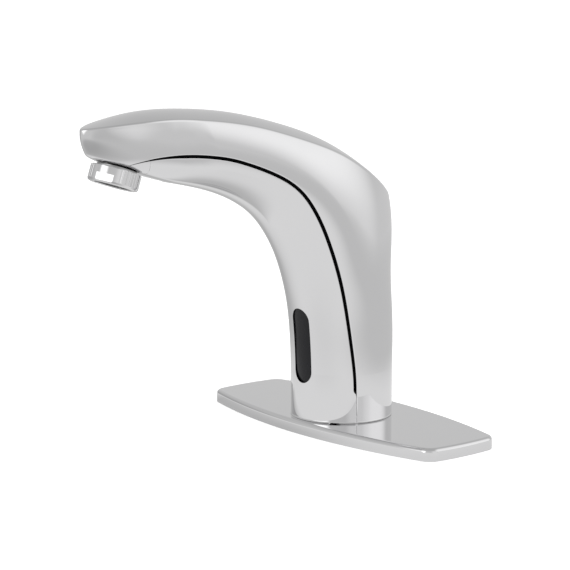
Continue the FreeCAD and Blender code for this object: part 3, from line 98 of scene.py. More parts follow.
# tables over the section parameter
TT = np.linspace(0, 10.2, 8161)
_tr = [Spline(np.arange(10), SECTIONS[:, k])(TT) for k in range(7)]
straight = TT < 1.0
_tr[0][straight] = 0.0
_tr[1][straight] = 6.2 + 23.8 * TT[straight]
_tr[2][straight] = 0.0
for k in (3, 4, 5):
    _tr[k][straight] = 25.0
_tr[6] = np.maximum(_tr[6], 2.0)
_tr[6][straight] = 2.0
_tr[2] = np.radians(_tr[2])
TAB = np.array(_tr)
DTAB = np.gradient(TAB, TT, axis=1)
ridge_fn = Spline(RIDGE[:, 0], RIDGE[:, 1])
_us = np.linspace(-60, 175, 4701)
_rz = ridge_fn(_us)
_rs = np.gradient(_rz, _us)


def at(k, t):
    return np.interp(t, TT, TAB[k])


def dat(k, t):
    return np.interp(t, TT, DTAB[k])


def smax(a, b, k):
    d = np.maximum(k - np.abs(a - b), 0.0) / k
    return np.maximum(a, b) + d * d * k * 0.25


def shape_at(x, u, z, t, rho, inset=0.0, soft=True):
    """signed distance (roughly) of points whose section parameter and height in the section are known"""
    x = np.abs(x)
    W = at(5, t) - inset
    up = rho > 0
    r = np.where(up, at(4, t), at(3, t)) - inset
    n = np.where(up, 2.0, at(6, t))
    a = np.maximum(x / W, 1e-9)
    b = np.maximum(np.abs(rho) / r, 1e-9)
    F = (a**n + b**n) ** (1 / n)
    F = np.maximum(F, 1e-6)
    gx = (a / F) ** (n - 1) / W
    gr = (b / F) ** (n - 1) / r
    tube = (F - 1) / np.sqrt(gx * gx + gr * gr)
    rz = np.interp(u, _us, _rz)
    rs = np.interp(u, _us, _rs)
    top = (z + KAPPA * x * x / 2 - rz + inset) / np.sqrt(1 + rs * rs + (KAPPA * x) ** 2)
    w = (155.0 - z) / 15.0
    tip = 150.5 + 1.587 * w - 6.777 * w * np.abs(w)
    L = 46.0
    half = 18.2
    if inset > 1.5:
        tip = tip - 1.35 * inset
        L = L - 0.35 * inset
    g = np.maximum(tip - L + 7.5 - u, 0.0)
    flare = 0.012 * g * g
    q = np.maximum((u - (tip - L)) / L, 1e-9)
    aa = np.maximum((x - flare + (inset if inset > 0 else 0.0)) / half, 1e-9)
    p = 1.62
    P = (aa**p + q**p) ** (1 / p)
    px = (aa / P) ** (p - 1) / half
    pq = (q / P) ** (p - 1) / L
    nose = (P - 1) / np.sqrt(px * px + pq * pq)
    near = (u > 85).astype(float)
    nose = nose * near + (-30.0) * (1 - near)
    flat = (STAND + inset) - ((LIP_U - u) * math.sin(TILT) + (z - LIP_Z) * math.cos(TILT))
    flat = np.where(u > 105, flat, -30.0)
    if not soft:
        return np.maximum(np.maximum(tube, top), np.maximum(nose, flat))
    crease = 0.9 + 0.5 * np.clip((20 - u) / 40, 0, 1)
    s = smax(tube, nose, 2.0)
    s = smax(s, flat, 1.6)
    return smax(s, top, crease)


def locate(u, z, t0, steps=7):
    """section parameter and height in the section, from a guess"""
    t = np.array(t0, float)
    for _ in range(steps):
        f, c, ph = at(0, t), at(1, t), at(2, t)
        e = (u - f) * np.sin(ph) + (z - c) * np.cos(ph)
        rho = -(u - f) * np.cos(ph) + (z - c) * np.sin(ph)
        de = -(dat(0, t) * np.sin(ph) + dat(1, t) * np.cos(ph)) - dat(2, t) * rho
        t = np.clip(t - e / np.where(np.abs(de) < 1e-3, -1e-3, de), 0, 10.2)
    f, c, ph = at(0, t), at(1, t), at(2, t)
    return t, -(u - f) * np.cos(ph) + (z - c) * np.sin(ph)


def guess_t(u, z):
    """nearest section parameter by search, for free points"""
    tc = np.linspace(0, 9.9, 100)
    f, c, ph = at(0, tc), at(1, tc), at(2, tc)
    e = (u[:, None] - f) * np.sin(ph) + (z[:, None] - c) * np.cos(ph)
    rho = -(u[:, None] - f) * np.cos(ph) + (z[:, None] - c) * np.sin(ph)
    return tc[np.argmin(np.abs(e) + 0.02 * np.abs(rho), axis=1)]


def surface(x, u, z, t0, inset=0.0):
    t, rho = locate(u, z, t0)
    return shape_at(x, u, z, t, rho, inset)


def normals(x, u, z, t0, inset=0.0):
    e = 0.03
    gx = surface(x + e, u, z, t0, inset) - surface(x - e, u, z, t0, inset)
    gu = surface(x, u + e, z, t0, inset) - surface(x, u - e, z, t0, inset)
    gz = surface(x, u, z + e, t0, inset) - surface(x, u, z - e, t0, inset)
    n = np.stack([gx, -gu, gz], -1)  # row frame: y = -u
    return n / np.maximum(np.linalg.norm(n, axis=-1, keepdims=True), 1e-9)


def extent(t, inset):
    """lowest and highest inside height on the centre line of each section"""
    rh = np.linspace(-30, 45, 901)
    T, R = np.meshgrid(t, rh, indexing="ij")
    ph = at(2, T)
    U = at(0, T) - R * np.cos(ph)
    Z = at(1, T) + R * np.sin(ph)
    G = shape_at(np.zeros_like(U), U, Z, T, R, inset)
    lo = np.full(len(t), np.nan)
    hi = np.full(len(t), np.nan)
    for i in range(len(t)):
        ins = np.where(G[i] < 0)[0]
        if len(ins):
            lo[i], hi[i] = rh[ins[0]], rh[ins[-1]]
    return lo, hi, -np.min(G, axis=1)


def end_of(inset):
    """section parameter at which the nose runs out"""
    a, b = 8.5, 10.1
    for _ in range(40):
        m = 0.5 * (a + b)
        ph = at(2, m)
        rh = np.linspace(-30, 12, 2000)
        U = at(0, m) - rh * np.cos(ph)
        Z = at(1, m) + rh * np.sin(ph)
        if np.min(shape_at(np.zeros_like(U), U, Z, np.full_like(U, m), rh, inset)) < 0:
            a = m
        else:
            b = m
    return a


def ray(t, psi, mid, inset):
    """radius from the section's middle to the skin at angle psi from the ridge side"""
    lo = np.zeros_like(psi)
    hi = np.full_like(psi, 60.0)
    T = np.broadcast_to(t[:, None], psi.shape)
    M = np.broadcast_to(mid[:, None], psi.shape)
    ph = at(2, T)
    sn, cs = np.sin(psi), np.cos(psi)
    f, c = at(0, T), at(1, T)
    for _ in range(34):
        r = 0.5 * (lo + hi)
        rho = M + r * cs
        U = f - rho * np.cos(ph)
        Z = c + rho * np.sin(ph)
        g = shape_at(r * sn, U, Z, T, rho, inset)
        lo = np.where(g < 0, r, lo)
        hi = np.where(g < 0, hi, r)
    r = 0.5 * (lo + hi)
    rho = M + r * cs
    return r * sn, f - rho * np.cos(ph), c + rho * np.sin(ph), rho


def middles(t, inset):
    lo, hi, _ = extent(t, inset)
    good = ~np.isnan(lo)
    lo = np.interp(t, t[good], lo[good])
    hi = np.interp(t, t[good], hi[good])
    return 0.5 * (lo + hi)


# seam line as section parameter against height in the section
_arc = np.concatenate([[0], np.cumsum(np.hypot(*np.diff(SEAM, axis=0).T))])
_sf, _su = Spline(_arc, SEAM[:, 0]), Spline(_arc, SEAM[:, 1])
S_START, S_TURN, S_END = _arc[2], _arc[19], _arc[20]


def seam_width(s):
    w = np.where(s > S_END, SEAM_HAIR, SEAM_HAIR + (SEAM_GAP - SEAM_HAIR) * np.clip((S_END - s) / 26.0, 0, 1))
    w = np.where(s < S_START + 1.6, SEAM_HAIR + (SEAM_GAP - SEAM_HAIR) * (s - S_START) / 1.6, w)
    return np.where(s < S_START, SEAM_HAIR, w)


def seam_curve(offset):
    s = np.unique(np.concatenate([np.linspace(0, _arc[-1], 700), [S_START, S_START + 1.6]]))
    e = 0.05
    tf, tu = _sf(s + e) - _sf(s - e), _su(s + e) - _su(s - e)
    ln = np.hypot(tf, tu)
    o = seam_width(s) if offset is None else offset
    return _sf(s) + tu / ln * o, _su(s) - tf / ln * o, s


def seam_table(offset):
    f, u, s = seam_curve(offset)
    t, rho = locate(f, u, guess_t(f, u), 12)
    keep = np.concatenate([[True], np.diff(t) > 1e-6])
    return t[keep], rho[keep]


SEAM_A = seam_table(0.0)
SEAM_B = seam_table(None)
_tt, _ = locate(np.array([_sf(S_TURN)]), np.array([_su(S_TURN)]), guess_t(np.array([float(_sf(S_TURN))]), np.array([float(_su(S_TURN))])), 12)
T_TURN = float(_tt[0])
T_SEAM_END = float(SEAM_A[0][-1])


def psi_of_rho(t, mid, target, inset):
    """angle at which the skin reaches a given height in the section"""
    lo = np.zeros_like(t)
    hi = np.full_like(t, math.pi)
    for _ in range(36):
        m = 0.5 * (lo + hi)
        _, _, _, rho = ray(t, m[:, None], mid, inset)
        over = rho[:, 0] > target
        lo = np.where(over, m, lo)
        hi = np.where(over, hi, m)
    return 0.5 * (lo + hi)


def spread(t, mid, p0, p1, count, inset, bend=5.0):
    """angles between p0 and p1 (per section), closer together where the skin turns sharply"""
    fine = 260
    k = np.linspace(0, 1, fine)
    psi = p0[:, None] + (p1 - p0)[:, None] * k[None, :]
    x, u, z, _ = ray(t, psi, mid, inset)
    P = np.stack([x, -u, z], -1)
    d = np.diff(P, axis=1)
    ds = np.linalg.norm(d, axis=-1) + 1e-9
    tv = d / ds[..., None]
    turn = np.zeros_like(ds)
    turn[:, 1:] = np.arccos(np.clip(np.sum(tv[:, 1:] * tv[:, :-1], -1), -1, 1))
    ker = np.array([1, 2, 3, 2, 1]) / 9.0
    turn = np.apply_along_axis(lambda r: np.convolve(r, ker, mode="same"), 1, turn)
    wgt = ds + bend * turn
    cum = np.concatenate([np.zeros((len(t), 1)), np.cumsum(wgt, axis=1)], axis=1)
    cum /= cum[:, -1:]
    out = np.empty((len(t), count))
    goal = np.linspace(0, 1, count)
    for i in range(len(t)):
        out[i] = np.interp(goal, cum[i], psi[i])
    out[:, 0] = p0
    out[:, -1] = p1
    return out


# ------------------------------------------------------------------ mesh making
class Maker:
    """collects patches; every face keeps a category: 0 skin, 1 rounded edge, 2 wall or inside"""

    def __init__(self):
        self.v, self.f, self.c, self.n = [], [], [], []
        self.count = 0

    def grid(self, P, cat, N=None, flip=False, closed=False):
        P = np.asarray(P, float)
        a, b = P.shape[:2]
        base = self.count
        self.v.append(P.reshape(-1, 3))
        self.n.append((N if N is not None else np.zeros_like(P)).reshape(-1, 3))
        self.count += a * b
        I, J = np.meshgrid(np.arange(a - 1), np.arange(b if closed else b - 1), indexing="ij")
        J2 = (J + 1) % b
        q = np.stack([base + I * b + J, base + I * b + J2, base + (I + 1) * b + J2, base + (I + 1) * b + J], -1).reshape(-1, 4)
        if flip:
            q = q[:, ::-1]
        self.f.append(q)
        self.c.append(np.full(len(q), cat))

    def build(self, name):
        v = np.concatenate(self.v) * MM
        n = np.concatenate(self.n)
        f = np.concatenate(self.f)
        c = np.concatenate(self.c)
        me = bpy.data.meshes.new(name)
        me.vertices.add(len(v))
        me.vertices.foreach_set("co", v.astype(np.float32).ravel())
        me.loops.add(len(f) * 4)
        me.loops.foreach_set("vertex_index", f.astype(np.int32).ravel())
        me.polygons.add(len(f))
        me.polygons.foreach_set("loop_start", (np.arange(len(f)) * 4).astype(np.int32))
        me.polygons.foreach_set("use_smooth", np.ones(len(f), bool))
        me.update(calc_edges=True)
        me.validate(clean_customdata=False)
        att = me.attributes.new("skin_normal", "FLOAT_VECTOR", "POINT")
        if len(me.vertices) == len(n):
            att.data.foreach_set("vector", n.astype(np.float32).ravel())
        ca = me.attributes.new("cat", "INT", "FACE")
        if len(me.polygons) == len(c):
            ca.data.foreach_set("value", c.astype(np.int32))
        ob = bpy.data.objects.new(name, me)
        C.collection.objects.link(ob)
        return ob


def both_sides(x, u, z, n=None):
    """rows run from the -X seam over the ridge (or belly) to the +X seam"""
    P = np.stack([x, -u, z], -1)
    Q = P[:, ::-1].copy()
    Q[..., 0] *= -1
    full = np.concatenate([Q[:, :-1], P], axis=1)
    if n is None:
        return full
    m = n[:, ::-1].copy()
    m[..., 0] *= -1
    return full, np.concatenate([m[:, :-1], n], axis=1)


def set_normals(ob):
    """skin faces take the exact normals of the shape; the rest keep theirs"""
    me = ob.data
    nv = len(me.vertices)
    co = np.empty(nv * 3, np.float32)
    me.vertices.foreach_get("co", co)
    co = co.reshape(-1, 3).astype(float) / MM
    x, u, z = co[:, 0], -co[:, 1], co[:, 2]
    t0 = guess_t(u, z)
    t, rho = locate(u, z, t0, 10)
    g = np.abs(shape_at(x, u, z, t, rho))
    an = normals(x, u, z, t)
    on = g < 0.05
    nl = len(me.loops)
    li = np.empty(nl, np.int32)
    me.loops.foreach_get("vertex_index", li)
    ln = np.array([c.vector[:] for c in me.corner_normals]) if False else None
    npoly = len(me.polygons)
    fn = np.empty(npoly * 3, np.float32)
    me.polygons.foreach_get("normal", fn)
    fn = fn.reshape(-1, 3).astype(float)
    tot = np.empty(npoly, np.int32)
    me.polygons.foreach_get("loop_total", tot)
    face_of = np.repeat(np.arange(npoly), tot)
    cat = np.zeros(npoly, np.int32)
    if "cat" in me.attributes and len(me.attributes["cat"].data) == npoly:
        me.attributes["cat"].data.foreach_get("value", cat)
    area = np.empty(npoly, np.float32)
    me.polygons.foreach_get("area", area)
    out = fn[face_of].copy()
    # rounded edges: average over the rounded faces round each vertex
    acc = np.zeros((nv, 3))
    edge_loops = cat[face_of] == 1
    np.add.at(acc, li[edge_loops], fn[face_of[edge_loops]] * area[face_of[edge_loops], None])
    ln_ = np.linalg.norm(acc, axis=1, keepdims=True)
    acc = np.where(ln_ > 1e-12, acc / np.maximum(ln_, 1e-12), 0)
    out[edge_loops] = acc[li[edge_loops]]
    agree = np.sum(an[li] * fn[face_of], axis=1)
    take = on[li] & (agree > 0.85) & (cat[face_of] == 0)
    out[take] = an[li[take]]
    join = on[li] & (cat[face_of] == 1) & (agree > 0.6)
    out[join] = an[li[join]]
    me.polygons.foreach_set("use_smooth", np.ones(npoly, bool))
    me.normals_split_custom_set(out.tolist())
    for a in ("skin_normal", "cat"):
        if a in me.attributes:
            me.attributes.remove(me.attributes[a])


def edge_round(edge, inner_dir, skin_near, steps=4):
    """points of a small rounded edge: from a point on the skin, past the corner, down the wall"""
    k = np.linspace(0, 1, steps + 1)[None, :, None]
    a, b, c = skin_near[:, None], edge[:, None], (edge + inner_dir)[:, None]
    return (1 - k) ** 2 * a + 2 * k * (1 - k) * b + k**2 * c


def shell_piece(name, t, upper, seam, t_close, count, round_w):
    """one half-tube from the seam over the ridge (upper) or under the belly, with its wall.
    t: stations; seam: (t, rho) table of its edge; t_close: station where the seam ends"""
    mk = Maker()
    mid = middles(t, 0.0)
    open_ = t <= t_close + 1e-9
    to = t[open_]
    mo = mid[open_]
    rho_s = np.interp(to, seam[0], seam[1])
    ps = psi_of_rho(to, mo, rho_s, 0.0)
    x_e, u_e, z_e, _ = ray(to, ps[:, None], mo, 0.0)
    edge = np.stack([x_e[:, 0], -u_e[:, 0], z_e[:, 0]], -1)
    # skin stops a little short of the edge
    step = round_w / np.maximum(np.hypot(x_e[:, 0], rho_s - mo), 4.0)
    if upper:
        p0, p1 = np.zeros_like(ps), ps - step
    else:
        p0, p1 = np.full_like(ps, math.pi), ps + step
    psi = spread(to, mo, p0, p1, count, 0.0)
    x, u, z, rho = ray(to, psi, mo, 0.0)
    n = normals(x, u, z, np.broadcast_to(to[:, None], x.shape))
    P, N = both_sides(x, u, z, n)
    mk.grid(P, 0, N, flip=not upper)
    # inside skin at the wall's depth
    mid_i = middles(to, WALL)
    psi_i = psi_of_rho(to, mid_i, rho_s, WALL)
    q0 = np.zeros_like(ps) if upper else np.full_like(ps, math.pi)
    pin = q0[:, None] + (psi_i - q0)[:, None] * np.linspace(0, 1, 50)[None, :]
    xi, ui, zi, _ = ray(to, pin, mid_i, WALL)
    Pi = both_sides(xi, ui, zi)
    mk.grid(Pi, 2, None, flip=upper)
    inner_edge = np.stack([xi[:, -1], -ui[:, -1], zi[:, -1]], -1)
    for side in (1, -1):
        e = edge * (side, 1, 1)
        sk = np.stack([x[:, -1], -u[:, -1], z[:, -1]], -1) * (side, 1, 1)
        inn = inner_edge * (side, 1, 1)
        dirn = inn - e
        dl = np.linalg.norm(dirn, axis=1, keepdims=True)
        dirn = dirn / dl * np.minimum(round_w, 0.4 * dl)
        R = edge_round(e, dirn, sk)
        flip = (side < 0) if upper else (side > 0)
        mk.grid(R, 1, None, flip=flip)
        k = np.linspace(0, 1, 3)[None, :, None]
        w0, w1 = R[:, -1:, :], inn[:, None, :]
        mk.grid(w0 * (1 - k) + w1 * k, 2, None, flip=flip)
    # foot: the wall's lower end
    k = np.linspace(0, 1, 3)[:, None, None]
    row_o = np.concatenate([edge[:1] * (-1, 1, 1), P[0], edge[:1]], 0)
    row_i = np.concatenate([inner_edge[:1] * (-1, 1, 1), Pi[0], inner_edge[:1]], 0)
    s_o = np.linspace(0, 1, len(row_o))
    s_i = np.linspace(0, 1, len(row_i))
    row_i2 = np.stack([np.interp(s_o, s_i, row_i[:, j]) for j in range(3)], -1)
    mk.grid(row_o[None] * (1 - k) + row_i2[None] * k, 2, None, flip=not upper)
    return mk, P, Pi, edge, inner_edge, to, mo


def stations():
    a = np.linspace(0, 1.0, 24)
    b = np.linspace(1.0, T_TURN, 330)[1:]
    return np.concatenate([a, b])


T_OUT = end_of(0.0)
T_INN = end_of(WALL)
round_w = 0.45
ts = stations()
ts[0] = 0.004

# rear casting with the nose
mk, P_A, Pi_A, edge_A, in_A, to, mo = shell_piece("body", ts, True, SEAM_A, T_TURN, 120, round_w)
# nose: closed rings from the seam's turn to the tip
s = np.linspace(0, 1, 150)
tn = T_TURN + (T_OUT - T_TURN) * (1 - (1 - s) ** 2)
tn[-1] = T_OUT - 1e-5
mn = middles(tn[:-1], 0.0)
mn = np.append(mn, mn[-1])
psn = spread(tn, mn, np.zeros_like(tn), np.full_like(tn, math.pi), 200, 0.0)
xn, un, zn, rn = ray(tn, psn, mn, 0.0)
nn = normals(xn, un, zn, np.broadcast_to(tn[:, None], xn.shape))
Pn, Nn = both_sides(xn, un, zn, nn)
# the rings close under the belly
mk.grid(Pn, 0, Nn)
# wall across the nose, behind the turn, from the seam down to the belly
psi_end = float(psi_of_rho(ts[-1:], mo[-1:], np.array([np.interp(T_TURN, *SEAM_A)]), 0.0)[0])
pw = np.linspace(psi_end, math.pi, 60)[None, :]
xw, uw, zw, rw = ray(np.array([T_TURN]), pw, mo[-1:], 0.0)
ring = both_sides(xw, uw, zw)[0]
ring = np.stack([np.concatenate([xw[0], -xw[0][::-1][1:]]), -np.concatenate([uw[0], uw[0][::-1][1:]]), np.concatenate([zw[0], zw[0][::-1][1:]])], -1)
flat_row = ring.copy()
flat_row[:, 2] = ring[0, 2]
flat_row[:, 1] = ring[0, 1] + (flat_row[:, 2] - ring[0, 2]) * 0
k = np.linspace(0, 1, 6)[:, None, None]
mk.grid(flat_row[None] * (1 - k) + ring[None] * k, 2, None, flip=True)
body = mk.build("spout_body")

# belly cover
tc = np.append(ts[ts <= T_TURN - 0.03], [T_TURN - 0.02, T_TURN - 0.01, T_TURN - 0.0004])
mk2, P_B, Pi_B, edge_B, in_B, tob, mob = shell_piece("cover", tc, False, SEAM_B, T_TURN, 120, round_w)
# its front end
row_o = np.concatenate([edge_B[-1:] * (-1, 1, 1), P_B[-1], edge_B[-1:]], 0)
row_i = np.concatenate([in_B[-1:] * (-1, 1, 1), Pi_B[-1], in_B[-1:]], 0)
s_o = np.linspace(0, 1, len(row_o))
s_i = np.linspace(0, 1, len(row_i))
row_i2 = np.stack([np.interp(s_o, s_i, row_i[:, j]) for j in range(3)], -1)
k = np.linspace(0, 1, 3)[:, None, None]
mk2.grid(row_o[None] * (1 - k) + row_i2[None] * k, 2, None)
cover = mk2.build("belly_cover")


# the seam runs on over the nose as a fine tapering groove, filled by the seal's tail
tr_ = np.linspace(T_TURN - 0.004, T_SEAM_END - 0.002, 60)
mr_ = middles(tr_, 0.0)
ra_ = np.interp(tr_, *SEAM_A)
rb_ = np.interp(tr_, *SEAM_B)
pa_ = psi_of_rho(tr_, mr_, ra_, 0.0)
pb_ = psi_of_rho(tr_, mr_, rb_, 0.0)
pr_ = pa_[:, None] + (pb_ - pa_)[:, None] * np.linspace(0, 1, 5)[None, :]
xr_, ur_, zr_, _ = ray(tr_, pr_, mr_, 0.0)
nr_ = normals(xr_, ur_, zr_, np.broadcast_to(tr_[:, None], xr_.shape))
Pr_ = np.stack([xr_, -ur_, zr_], -1)
mk3 = Maker()
for sgn in (1, -1):
    q_ = (Pr_ + nr_ * 0.02) * (sgn, 1, 1)
    low_ = (Pr_ - nr_ * 0.3) * (sgn, 1, 1)
    mk3.grid(q_, 0, None, flip=sgn < 0)
    mk3.grid(low_, 2, None, flip=sgn > 0)
    for side_ in (0, -1):
        mk3.grid(np.stack([q_[:, side_], low_[:, side_]], 1), 2, None, flip=(sgn < 0) == (side_ == 0))
    for end_ in (0, -1):
        mk3.grid(np.stack([q_[end_], low_[end_]], 0), 2, None, flip=(sgn > 0) == (end_ == 0))
tail = mk3.build("seal_tail")


def prism(name, half, low, high, y0, y1, seg=40):
    """upright slot-shaped cutter"""
    pts = []
    for i in range(seg + 1):
        a = math.pi * i / seg
        pts.append((half * math.cos(a), high - half + half * math.sin(a)))
    for i in range(seg + 1):
        a = math.pi + math.pi * i / seg
        pts.append((half * math.cos(a), low + half + half * math.sin(a)))
    n = len(pts)
    v = [(x * MM, y0 * MM, z * MM) for x, z in pts] + [(x * MM, y1 * MM, z * MM) for x, z in pts]
    f = [tuple(range(n))[::-1], tuple(range(n, 2 * n))]
    f += [(i, (i + 1) % n, n + (i + 1) % n, n + i) for i in range(n)]
    me = bpy.data.meshes.new(name)
    me.from_pydata(v, [], f)
    me.update()
    at_ = me.attributes.new("cat", "INT", "FACE")
    at_.data.foreach_set("value", np.full(len(f), 2, np.int32))
    ob = bpy.data.objects.new(name, me)
    C.collection.objects.link(ob)
    # outward faces whatever the winding
    import bmesh
    bm = bmesh.new()
    bm.from_mesh(me)
    bmesh.ops.recalc_face_normals(bm, faces=bm.faces)
    bm.to_mesh(me)
    bm.free()
    return ob


def weld(ob, dist=2e-6):
    import bmesh
    bm = bmesh.new()
    bm.from_mesh(ob.data)
    bmesh.ops.remove_doubles(bm, verts=bm.verts, dist=dist)
    bmesh.ops.dissolve_degenerate(bm, edges=bm.edges, dist=1e-7)
    bm.to_mesh(ob.data)
    bm.free()


def boolean(ob, cutter):
    m = ob.modifiers.new("cut", "BOOLEAN")
    m.operation = "DIFFERENCE"
    m.solver = "EXACT"
    m.object = cutter
    dg = C.evaluated_depsgraph_get()
    new = bpy.data.meshes.new_from_object(ob.evaluated_get(dg), depsgraph=dg)
    ob.modifiers.remove(m)
    old = ob.data
    ob.data = new
    bpy.data.meshes.remove(old)
    cm = cutter.data
    bpy.data.objects.remove(cutter)
    bpy.data.meshes.remove(cm)


weld(body)
weld(cover)
boolean(cover, prism("cutter", 6.1, 24.6, 61.6, -40, -10))
set_normals(body)
set_normals(cover)

# ------------------------------------------------------------------ materials
MATS = {}


def material(name, color, metal=0.0, rough=0.3, bump=0.0, bump_scale=400.0, vary=0.03, coat=0.0, ior=1.5, aniso=None):
    m = bpy.data.materials.new(name)
    m.use_nodes = True
    nt = m.node_tree
    b = nt.nodes["Principled BSDF"]
    tc_ = nt.nodes.new("ShaderNodeTexCoord")
    nz = nt.nodes.new("ShaderNodeTexNoise")
    nz.inputs["Scale"].default_value = bump_scale
    nz.inputs["Detail"].default_value = 3.0
    nt.links.new(tc_.outputs["Object"], nz.inputs["Vector"])
    ramp = nt.nodes.new("ShaderNodeValToRGB")
    lo = [max(0.0, c * (1 - vary)) for c in color[:3]] + [1.0]
    hi = [min(1.0, c * (1 + vary)) for c in color[:3]] + [1.0]
    ramp.color_ramp.elements[0].color = lo
    ramp.color_ramp.elements[1].color = hi
    nt.links.new(nz.outputs["Fac"], ramp.inputs["Fac"])
    nt.links.new(ramp.outputs["Color"], b.inputs["Base Color"])
    mr = nt.nodes.new("ShaderNodeMapRange")
    mr.inputs["To Min"].default_value = rough * 0.85
    mr.inputs["To Max"].default_value = rough * 1.15
    nt.links.new(nz.outputs["Fac"], mr.inputs["Value"])
    nt.links.new(mr.outputs["Result"], b.inputs["Roughness"])
    b.inputs["Metallic"].default_value = metal
    b.inputs["IOR"].default_value = ior
    if coat:
        b.inputs["Coat Weight"].default_value = coat
        b.inputs["Coat Roughness"].default_value = 0.03
    if bump:
        bp = nt.nodes.new("ShaderNodeBump")
        bp.inputs["Strength"].default_value = 1.0
        bp.inputs["Distance"].default_value = bump
        nt.links.new(nz.outputs["Fac"], bp.inputs["Height"])
        nt.links.new(bp.outputs["Normal"], b.inputs["Normal"])
    MATS[name] = m
    return m


material("chrome_polished", (0.808, 0.806, 0.813), 1.0, 0.035, vary=0.01, bump_scale=60)
material("chrome_plate", (0.808, 0.806, 0.813), 1.0, 0.045, vary=0.01, bump_scale=60)
material("chrome_ring", (0.80, 0.797, 0.803), 1.0, 0.06, vary=0.02, bump_scale=200)
material("chrome_satin", (0.42, 0.42, 0.42), 1.0, 0.3, vary=0.04, bump_scale=300)
material("black_rubber", (0.0012, 0.0012, 0.0014), 0.0, 0.85, vary=0.2, bump_scale=500, ior=1.12)
material("foam", (0.06, 0.06, 0.06), 0.0, 0.9, bump=0.00005, bump_scale=900, vary=0.25)
material("dark_window", (0.008, 0.008, 0.0095), 0.0, 0.12, vary=0.1, bump_scale=50, ior=1.3)
material("brass", (0.72, 0.53, 0.25), 1.0, 0.3, bump=0.000004, bump_scale=700, vary=0.08)
material("steel", (0.60, 0.60, 0.62), 1.0, 0.28, vary=0.05, bump_scale=500)
material("zinc", (0.58, 0.61, 0.66), 1.0, 0.38, vary=0.08, bump_scale=250)
material("mesh_steel", (0.20, 0.20, 0.205), 1.0, 0.45, vary=0.1, bump_scale=900)
material("nickel", (0.68, 0.66, 0.58), 1.0, 0.3, vary=0.05, bump_scale=300)
material("filter_plastic", (0.80, 0.80, 0.76), 0.0, 0.5, vary=0.04)
material("white_plastic", (0.82, 0.82, 0.79), 0.0, 0.42, vary=0.03)
material("blue_plastic", (0.05, 0.17, 0.42), 0.0, 0.4, vary=0.06)
material("grey_plastic", (0.16, 0.165, 0.17), 0.0, 0.5, vary=0.06)
material("black_plastic", (0.012, 0.012, 0.013), 0.0, 0.5, bump=0.000006, bump_scale=1200, vary=0.15)
material("valve_plastic", (0.04, 0.04, 0.043), 0.0, 0.48, bump=0.000006, bump_scale=1000, vary=0.12)
material("copper_wire", (0.42, 0.14, 0.04), 0.6, 0.3, bump=0.00004, bump_scale=1500, vary=0.15)
material("clear_tube", (0.72, 0.76, 0.74), 0.0, 0.2, vary=0.02)
material("board_green", (0.01, 0.09, 0.03), 0.0, 0.42, vary=0.15, bump_scale=700)
material("clear_lens", (0.20, 0.24, 0.36), 0.0, 0.08, vary=0.04, coat=0.5)
material("dark_lens", (0.01, 0.007, 0.01), 0.0, 0.1, vary=0.1, coat=0.5)
material("red_lens", (0.40, 0.01, 0.008), 0.0, 0.12, vary=0.08, coat=0.4)
material("chip_black", (0.015, 0.015, 0.016), 0.0, 0.55, vary=0.15, bump_scale=900)
material("battery_wrap", (0.02, 0.09, 0.15), 0.0, 0.28, vary=0.06, bump_scale=90)
material("lead_black", (0.01, 0.01, 0.01), 0.0, 0.5, vary=0.1)

LOOKS = {
    "chrome_body": "chrome_polished", "chrome_cover": "chrome_polished", "chrome_plate": "chrome_plate", "chrome_ring": "chrome_ring",
    "brass_chromed": "chrome_satin", "black_rubber": "black_rubber", "foam": "foam", "dark_window": "dark_window", "brass": "brass",
    "steel_screw": "steel", "steel_tube": "steel", "spring_steel": "steel", "zinc_steel": "zinc", "steel_mesh": "mesh_steel",
    "contact_nickel": "nickel", "filter_plastic": "filter_plastic", "white_plastic": "white_plastic", "blue_plastic": "blue_plastic",
    "grey_plastic": "grey_plastic", "black_plastic": "black_plastic", "bobbin_plastic": "black_plastic", "valve_plastic": "valve_plastic",
    "copper_wire": "copper_wire", "clear_tube": "clear_tube", "board_green": "board_green", "clear_lens": "clear_lens",
    "dark_lens": "dark_lens", "red_lens": "red_lens", "chip_black": "chip_black", "battery_wrap": "battery_wrap", "lead_black": "lead_black",
}
SLOT_OF = {p["node"]: p["material_slot"] for p in frame["record"]["subparts"]}
for node, ob in frame["nodes"].items():
    ob.data.materials.clear()
    ob.data.materials.append(MATS[LOOKS[SLOT_OF[node]]])
    for poly in ob.data.polygons:
        poly.use_smooth = True
    m = ob.modifiers.new("weighted", "WEIGHTED_NORMAL") if False else None

body.data.materials.clear()
body.data.materials.append(MATS["chrome_polished"])
cover.data.materials.clear()
cover.data.materials.append(MATS["chrome_polished"])
for poly in body.data.polygons:
    poly.material_index = 0
for poly in cover.data.polygons:
    poly.material_index = 0


def rides(ob, body_name, slot_name, *nodes):
    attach(ob, body_name)
    if nodes:
        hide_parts(*nodes)


rides(body, "tap", "chrome_body", "body_shell")
rides(cover, "tap", "chrome_cover", "front_cover")
weld(tail)
tail.data.materials.append(MATS["black_rubber"])
rides(tail, "tap", "black_rubber")

# sharp-edge shading on the turned and boxed pieces
for node, ob in frame["nodes"].items():
    if node in ("body_shell", "front_cover"):
        continue
    me = ob.data
    me.update()
    if hasattr(me, "set_sharp_from_angle"):
        me.set_sharp_from_angle(angle=math.radians(32))

LOBES = [
    (85, 26, 12, 28, 0.42),
    (35, 12, 8, 20, 0.16),
    (10, -14, 6, 22, -0.10),
    (-132, -14, 12, 34, -0.24),
    (-50, 15, 8, 16, 0.95),
]
